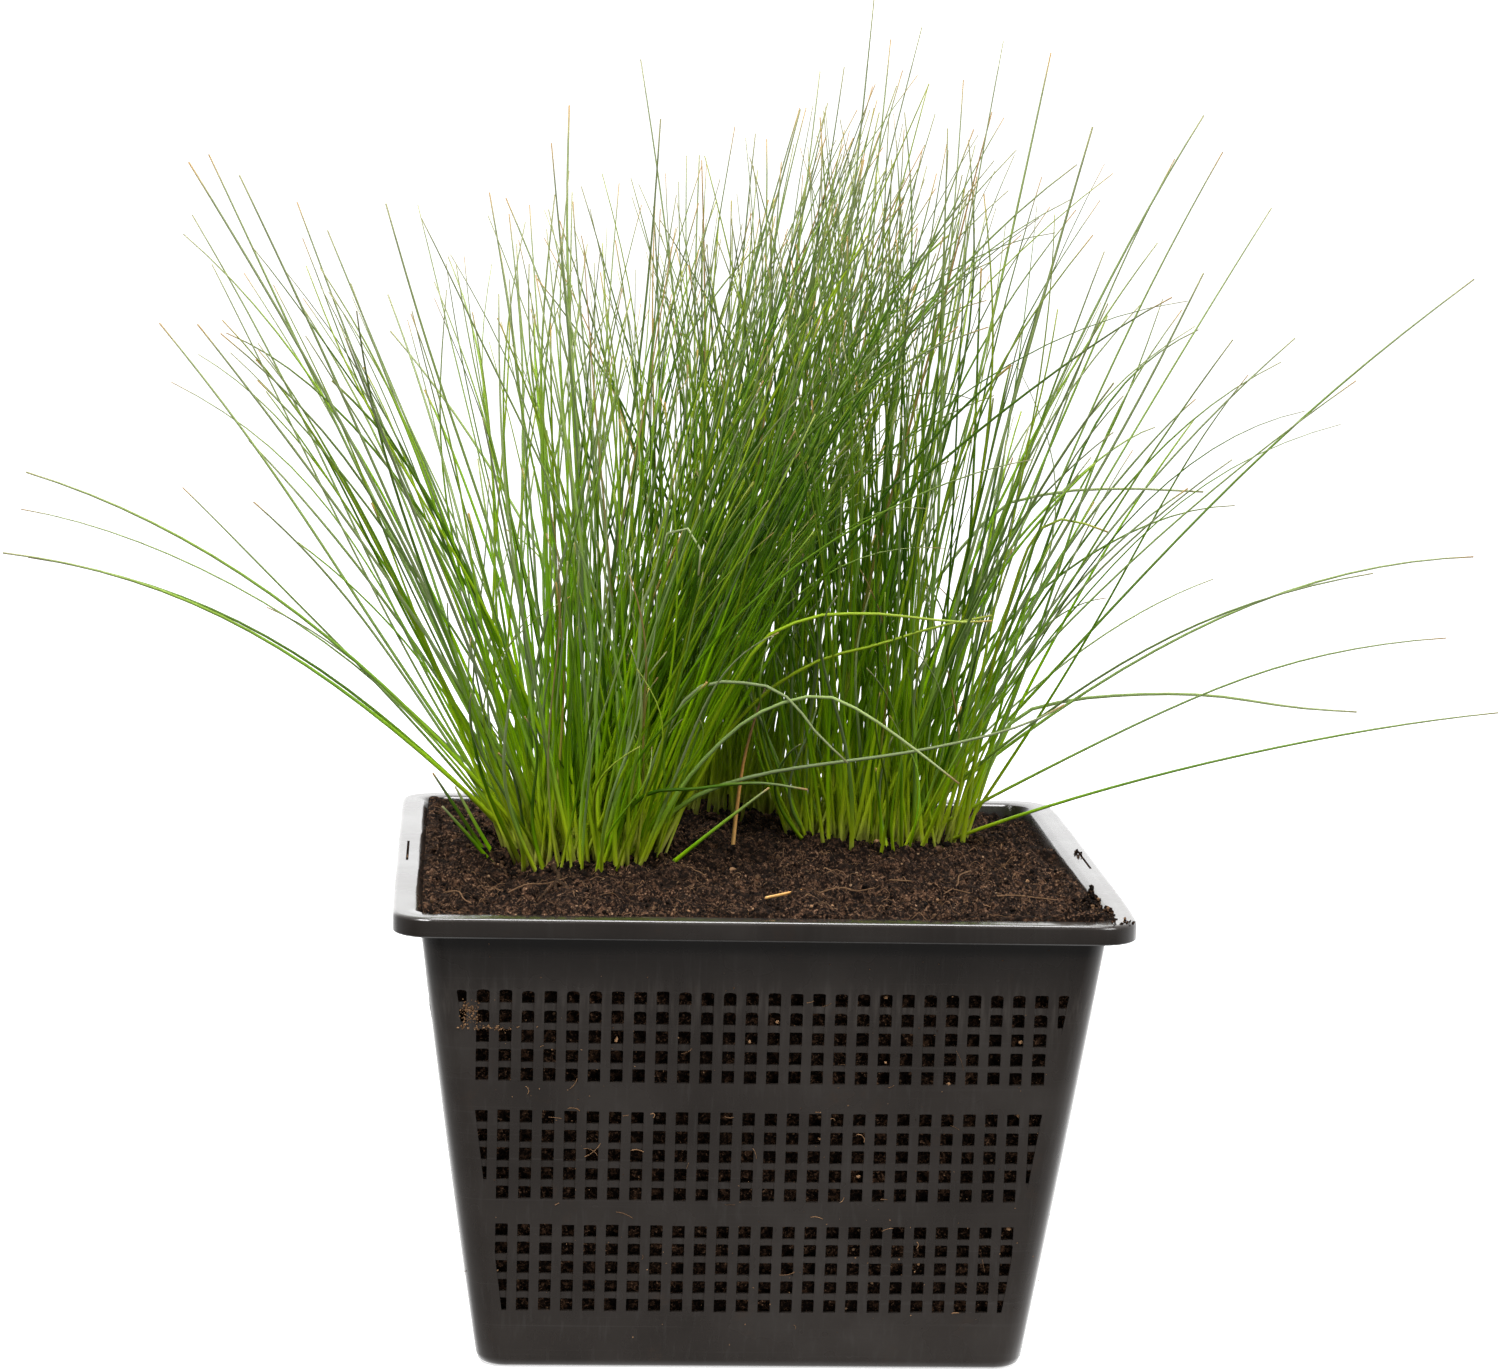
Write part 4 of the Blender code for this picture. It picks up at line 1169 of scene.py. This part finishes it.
def outline_stems(draw, clump):
    """Roots sit somewhere on the tip's side of the root ball; tips are as measured."""
    rows = np.array(OUTLINE_TIPS[clump], dtype=float) / 1000
    centre, half_widths = (np.array(pair) for pair in CLUMPS[clump])
    way = rows[:, :2] - centre
    way /= np.maximum(np.linalg.norm(way, axis=1), 0.08)[:, None]
    root = centre + draw.uniform(*ROOT_SHARES, (len(rows), 1)) * way * half_widths
    ground = soil_level(root[:, 0], root[:, 1]) - FOOT_DEPTH
    return np.column_stack([root, ground]), rows[:, :3], rows[:, 3] * OUTLINE_RISE

# %% Bent stems: root, then points in mm
BENT_STEMS = {
    "front_left": (
        ((-52, -40), (-40, -51, 230), (-29, -57, 255), (-20, -59, 262), (-12, -61, 263),
         (3, -65, 262), (13, -68, 256), (21, -71, 246), (34, -75, 234)),
        ((-46, -38), (-30, -49, 218), (-8, -59, 245), (9, -66, 256), (19, -69, 259),
         (28, -72, 259), (41, -76, 253), (58, -83, 242), (76, -90, 229)),
        ((-62, -46), (-49, -59, 247), (-47, -67, 291), (-43, -69, 303), (-38, -74, 322),
         (-33, -75, 326), (-29, -76, 323), (-25, -78, 316), (-26, -80, 307)),
        ((-45, -20), (-21, -29, 233), (1, -38, 275), (20, -42, 286), (29, -44, 288),
         (47, -47, 289), (77, -52, 287), (91, -55, 288)),
        ((-45, -10), (-5, -18, 242), (23, -22, 265), (50, -25, 274), (70, -27, 281),
         (94, -30, 287)),
        ((-40, -50), (-29, -56, 193), (-15, -62, 206), (4, -70, 223)),
        ((-60, -46), (-47, -58, 215), (-23, -68, 222), (-1, -77, 226), (18, -85, 225)),
        ((-50, -30), (-29, -35, 209), (2, -40, 223), (58, -49, 234), (89, -55, 242),
         (108, -58, 249), (120, -60, 256)),
        ((-100, -24), (-110, -27, 192), (-123, -30, 207)),
        ((-98, -20), (-107, -22, 194), (-118, -24, 214)),
        ((-101, -14), (-113, -15, 197), (-127, -16, 218)),
    ),
    "right": (
        ((30, 40), (65, 47, 266), (100, 52, 316), (123, 54, 327), (156, 57, 330),
         (192, 60, 329)),
        ((90, 20), (97, 9, 247), (108, -1, 302), (117, -5, 321), (128, -7, 323),
         (142, -10, 319)),
        ((88, 40), (110, 45, 229), (129, 47, 240), (159, 50, 244), (196, 54, 244),
         (234, 57, 239), (261, 60, 237)),
    ),
    "back": (),
}
# from yellow at 0 over green; from 0.55 up a painted pale bluish sheen is laid on
BENT_HUES_AND_SHEEN = {"front_left": (0.88, 0.88, 0.88, 0, 0, 0.3, 0.3, 0.88, 0.3, 0.3, 0.3),
             "right": (0.88, 0, 0.88), "back": ()}


def bent_paths(clump):
    """The bent stems of one clump as paths of equal step count."""
    paths = []
    for (root_x, root_y), *rest in BENT_STEMS[clump]:
        root = np.array((root_x, root_y)) / 1000
        ground = soil_level(root[0], root[1]) - FOOT_DEPTH
        knots = np.concatenate([[(*root, ground)], np.array(rest) / 1000])
        paths.append(smooth_path(knots, STEM_STEPS))
    return np.array(paths).reshape(-1, STEM_STEPS, 3)

# %% [markdown]
# ## Growing the clumps
# Now each clump becomes one mesh. A stem is nearly 2 mm thick at its foot, 1 mm half way up and
# ends in a point of about half a millimetre, or bluntly where it was clipped. A few stems are
# dead and brown all along.

# %% Clump plan
TAPER_PLACES = (0, 0.12, 0.30, 0.50, 0.75, 1)
TAPER_RADII = (0.00088, 0.00082, 0.00061, 0.00050, 0.00039, 0.00022)
SWAY = 0.0070
TWIST = 0.0030
FLICK = 0.009
CALM = 0.6
# outline and bent stems are painted brighter: their tone is multiplied by this
SINGLE_PAINTED_LIGHT = 1.40
stem_chance = np.random.default_rng(3)


def grow_clump(draw, clump):
    """All stems of one clump, where each ends and how bright: sheaves, outline and bent stems."""
    plans, ends, painted_light_and_shade = [], [], []
    # each sheaf's painted light and shade: a factor on its stems' tone, below 1 darker, above 1 brighter
    for sheaf_clump, count, shade, *plan in SHEAVES:
        if sheaf_clump == clump:
            plans.append(grow_sheaf(draw, clump, count, *plan))
            clipped = draw.uniform(0, 1, count) < CLIPPED_SHARE
            ends.append(np.where(clipped, draw.uniform(*CLIPPED_ENDS, count), 1.0))
            painted_light_and_shade.append(np.full(count, shade))
    in_sheaves = sum(len(part) for part in ends)
    plans.append(outline_stems(draw, clump))
    roots, tips, rises = (np.concatenate(parts) for parts in zip(*plans))
    bent = bent_paths(clump)
    singles = len(roots) + len(bent) - in_sheaves
    ends = np.concatenate(ends + [np.ones(singles)])
    painted_light_and_shade = np.concatenate(painted_light_and_shade + [np.full(singles, SINGLE_PAINTED_LIGHT)])
    sways, twists, flicks = np.zeros((3, len(roots), 3))
    sways[:, :2] = draw.normal(0, SWAY, (len(roots), 2))
    twists[:, :2] = draw.normal(0, TWIST, (len(roots), 2))
    flicks[:in_sheaves, :2] = draw.normal(0, FLICK, (in_sheaves, 2))
    sways[in_sheaves:] *= CALM
    twists[in_sheaves:] *= CALM
    arched = arches(roots, tips, rises, sways, twists, flicks, ends[:len(roots)])
    arched[..., :2] = np.clip(arched[..., :2], *STEM_BOX)
    return np.concatenate([arched, bent]), ends, painted_light_and_shade

# %% Clumps
BENT_STOUTNESS = 1.35
SINGLE_THICKENING = 0.4
DEAD_SHARE = 0.02
CLIPPED_TAN = 0.008
TIP_TAN = 0.014

steps_up = np.linspace(0, 1, STEM_STEPS)[None, :]
for clump in CLUMPS:
    paths, ends, painted_light_and_shade = grow_clump(stem_chance, clump)
    count = len(paths)
    bent = slice(count - len(BENT_STEMS[clump]), None)
    singles = slice(bent.start - len(OUTLINE_TIPS[clump]), None)
    along_stem = steps_up * ends[:, None]
    stoutness = stem_chance.uniform(0.65, 1.25, (count, 1))
    stoutness[bent] = BENT_STOUTNESS
    radii = stoutness * np.interp(along_stem, TAPER_PLACES, TAPER_RADII)
    radii[singles] *= 1 + SINGLE_THICKENING * along_stem[singles] ** 2
    across = paths[:, -1, :2] - paths[:, 0, :2]
    level = np.column_stack([-across[:, 1], across[:, 0], np.zeros(count)])
    level /= np.maximum(np.linalg.norm(level, axis=1, keepdims=True), 1e-6)
    # tone is chance times the sheaf's painted light and shade; only a bright sheaf may get much painted
    # sheen, a dark one stays green
    tone = np.minimum((0.06 + 0.94 * stem_chance.beta(0.9, 1.3, count)) * painted_light_and_shade, 1)
    hue = stem_chance.uniform(0, 1, count) * (0.50 + 0.50 * np.clip((painted_light_and_shade - 0.5) / 0.4, 0, 1))
    hue[singles] = 0.60 + 0.35 * stem_chance.uniform(0, 1, len(hue[singles]))
    hue[bent] = BENT_HUES_AND_SHEEN[clump]
    # a dead stem is brown all along, the others only near the tip, a third of them strongly
    dead = stem_chance.uniform(0, 1, count) < DEAD_SHARE
    dead[singles] = False
    tan_length = np.where(dead, 1.0, np.where(ends < 1, CLIPPED_TAN, TIP_TAN))
    from_tip = (1 - steps_up) * ends[:, None]
    tan_share = np.where(dead, 0.7, np.where(stem_chance.uniform(0, 1, count) < 0.35, 0.8, 0.2))
    dry = np.clip(1.15 - from_tip / tan_length[:, None], 0, 1) * tan_share[:, None]
    clump_piece = add_tubes("stems_" + clump, paths, radii, level, grass, "grass_green",
                            tone=tone[:, None], hue=hue[:, None], along=along_stem, dry=dry)
    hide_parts("grass_" + clump)

# %% [markdown]
# ## Dry stalk and straw
# A dry stalk leans between the clumps, orange at its foot and brown above, and a flat piece of
# straw lies at the front. Both are tubes again, with a dry finish whose colour follows the
# number `along`.

# %% Straw finish
straw = new_finish("dry_straw", 0.55, 0.4)
straw_colour = straw.ramp(
    straw.kept_number("along"), (0.0, (0.96, 0.56, 0.19)), (0.45, (0.92, 0.44, 0.11)),
    (0.7, (0.28, 0.16, 0.045)), (1.0, (0.09, 0.06, 0.025)))
straw_grain = straw.noise(900.0, 2.0)
straw.give(Base_Color=straw.layered(
    straw_colour, (straw_grain, (0.4, 0.0), (0.8, 0.5), (0.30, 0.15, 0.05))))
straw.raise_surface(straw_grain, 0.4, 0.0002)
print("straw finish:", len(straw.nodes), "nodes")

# %% Dry stalk
STALK_STEPS = 12
stalk_knots = np.array((
    (-0.006, -0.008, 0.1835), (-0.0045, -0.0075, 0.2020), (-0.0020, -0.0070, 0.2230),
    (0.0020, -0.0065, 0.2400), (0.0060, -0.0060, 0.2530)))
share = np.linspace(0, 1, STALK_STEPS)[None]
stalk = add_tubes("dry_stalk_stem", smooth_path(stalk_knots, STALK_STEPS)[None],
                  0.0010 - 0.0006 * share, (0, 1, 0), straw, "dry_straw", corners=6, along=share)
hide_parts("dry_stalk")

# %% Loose straw
STRAW_STEPS = 8
STRAW_RADIUS = 0.00055
straw_ends = np.array(((0.0005, -0.1150), (0.0155, -0.0990)))
straw_xy = straw_ends[:1] + (straw_ends[1:] - straw_ends[:1]) * np.linspace(0, 1, STRAW_STEPS)[:, None]
straw_ground = soil_top(straw_xy[:, 0], straw_xy[:, 1]).max() + 0.0009
straw_path = np.column_stack([straw_xy, np.full(STRAW_STEPS, straw_ground)])[None]
loose = add_tubes("loose_straw_piece", straw_path, np.full((1, 1), STRAW_RADIUS), (0, 0, 1), straw,
                  "dry_straw", corners=6, flatness=0.5, along=np.linspace(0, 0.45, STRAW_STEPS)[None])
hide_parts("loose_straw")

# %% [markdown]
# ## Studio
# The photograph is a cut-out on white. The floor glows a little and the sky is white where the
# camera sees it, so both run into each other with no line. For the light that falls on the
# object the sky is bright behind, dim in front and dimmer on the left, as in a studio with a lit
# back wall: the rim's flat top mirrors the wall and turns pale, while the front stays dark.
# Standard colours keep white white, where a film look would grey it.

# %% Sky and floor
SKY_IN_FRONT = 0.16
SKY_BEHIND = 1.55
SKY_LEFT_SHARE = 0.40
FLOOR_COLOUR_SEEN = 0.84
FLOOR_GLOW_SEEN = 0.72
FLOOR_COLOUR_GIVEN = 0.10
FLOOR_GLOW_NEAR = 0.92
FLOOR_GLOW_FAR = 0.015
GLOW_REACH = (0.18, 0.56)

white = new_finish("studio_white", 0.9, 0.0)
white_seen = white.add("ShaderNodeLightPath").outputs["Is Camera Ray"]
from_middle = white.add("ShaderNodeVectorMath", {"Vector": white.place}, operation="LENGTH")
glow_given = white.rescaled(
    from_middle.outputs["Value"], *GLOW_REACH, FLOOR_GLOW_NEAR, FLOOR_GLOW_FAR)
white.give(
    Base_Color=white.mix(white_seen, (FLOOR_COLOUR_GIVEN,) * 3, (FLOOR_COLOUR_SEEN,) * 3),
    Emission_Color=(1.0, 1.0, 1.0),
    Emission_Strength=white.mix(white_seen, glow_given, (FLOOR_GLOW_SEEN,) * 3))
bpy.ops.mesh.primitive_plane_add(size=400.0)
floor = bpy.context.object
floor.name = "studio_floor"
floor.data.materials.append(white.owner)
floor.visible_glossy = False

world = bpy.data.worlds.new("studio_sky")
bpy.context.scene.world = world
sky = Finish(world, "Background", "Generated")
# a direction's Y goes from -1 in front to 1 behind, its X from -1 on the left to 1 on the right
toward = sky.parts()
sky_given = sky.sums(
    "MULTIPLY", sky.rescaled(toward["Y"], -0.6, 1.0, SKY_IN_FRONT, SKY_BEHIND),
    sky.rescaled(toward["X"], -0.85, -0.30, SKY_LEFT_SHARE, 1.0))
sky_seen = sky.add("ShaderNodeLightPath").outputs["Is Camera Ray"]
sky.give(Color=(1.0, 1.0, 1.0), Strength=sky.sums("MAXIMUM", sky_seen, sky_given))
bpy.context.scene.view_settings.view_transform = "Standard"
print("sky strength from", SKY_IN_FRONT, "in front to", SKY_BEHIND, "behind")

# %% Lamps
def add_lamp(name, place, target, size, power):
    """A square soft lamp that faces its target."""
    lamp = bpy.data.objects.new(name, bpy.data.lights.new(name, "AREA"))
    bpy.context.scene.collection.objects.link(lamp)
    lamp.data.size = size
    lamp.data.energy = power
    lamp.location = place
    lamp.rotation_euler = (Vector(target) - Vector(place)).to_track_quat("-Z", "Y").to_euler()
    print(name, "of", power, "W")


add_lamp("key_lamp", (-0.85, -1.05, 1.95), (0, 0, 0.22), 0.8, 48)
add_lamp("fill_lamp", (1.1, -1.3, 1.3), (0, 0, 0.20), 0.8, 18)
add_lamp("top_lamp", (0.1, 0.3, 1.9), (0, 0, 0.2), 0.8, 26)
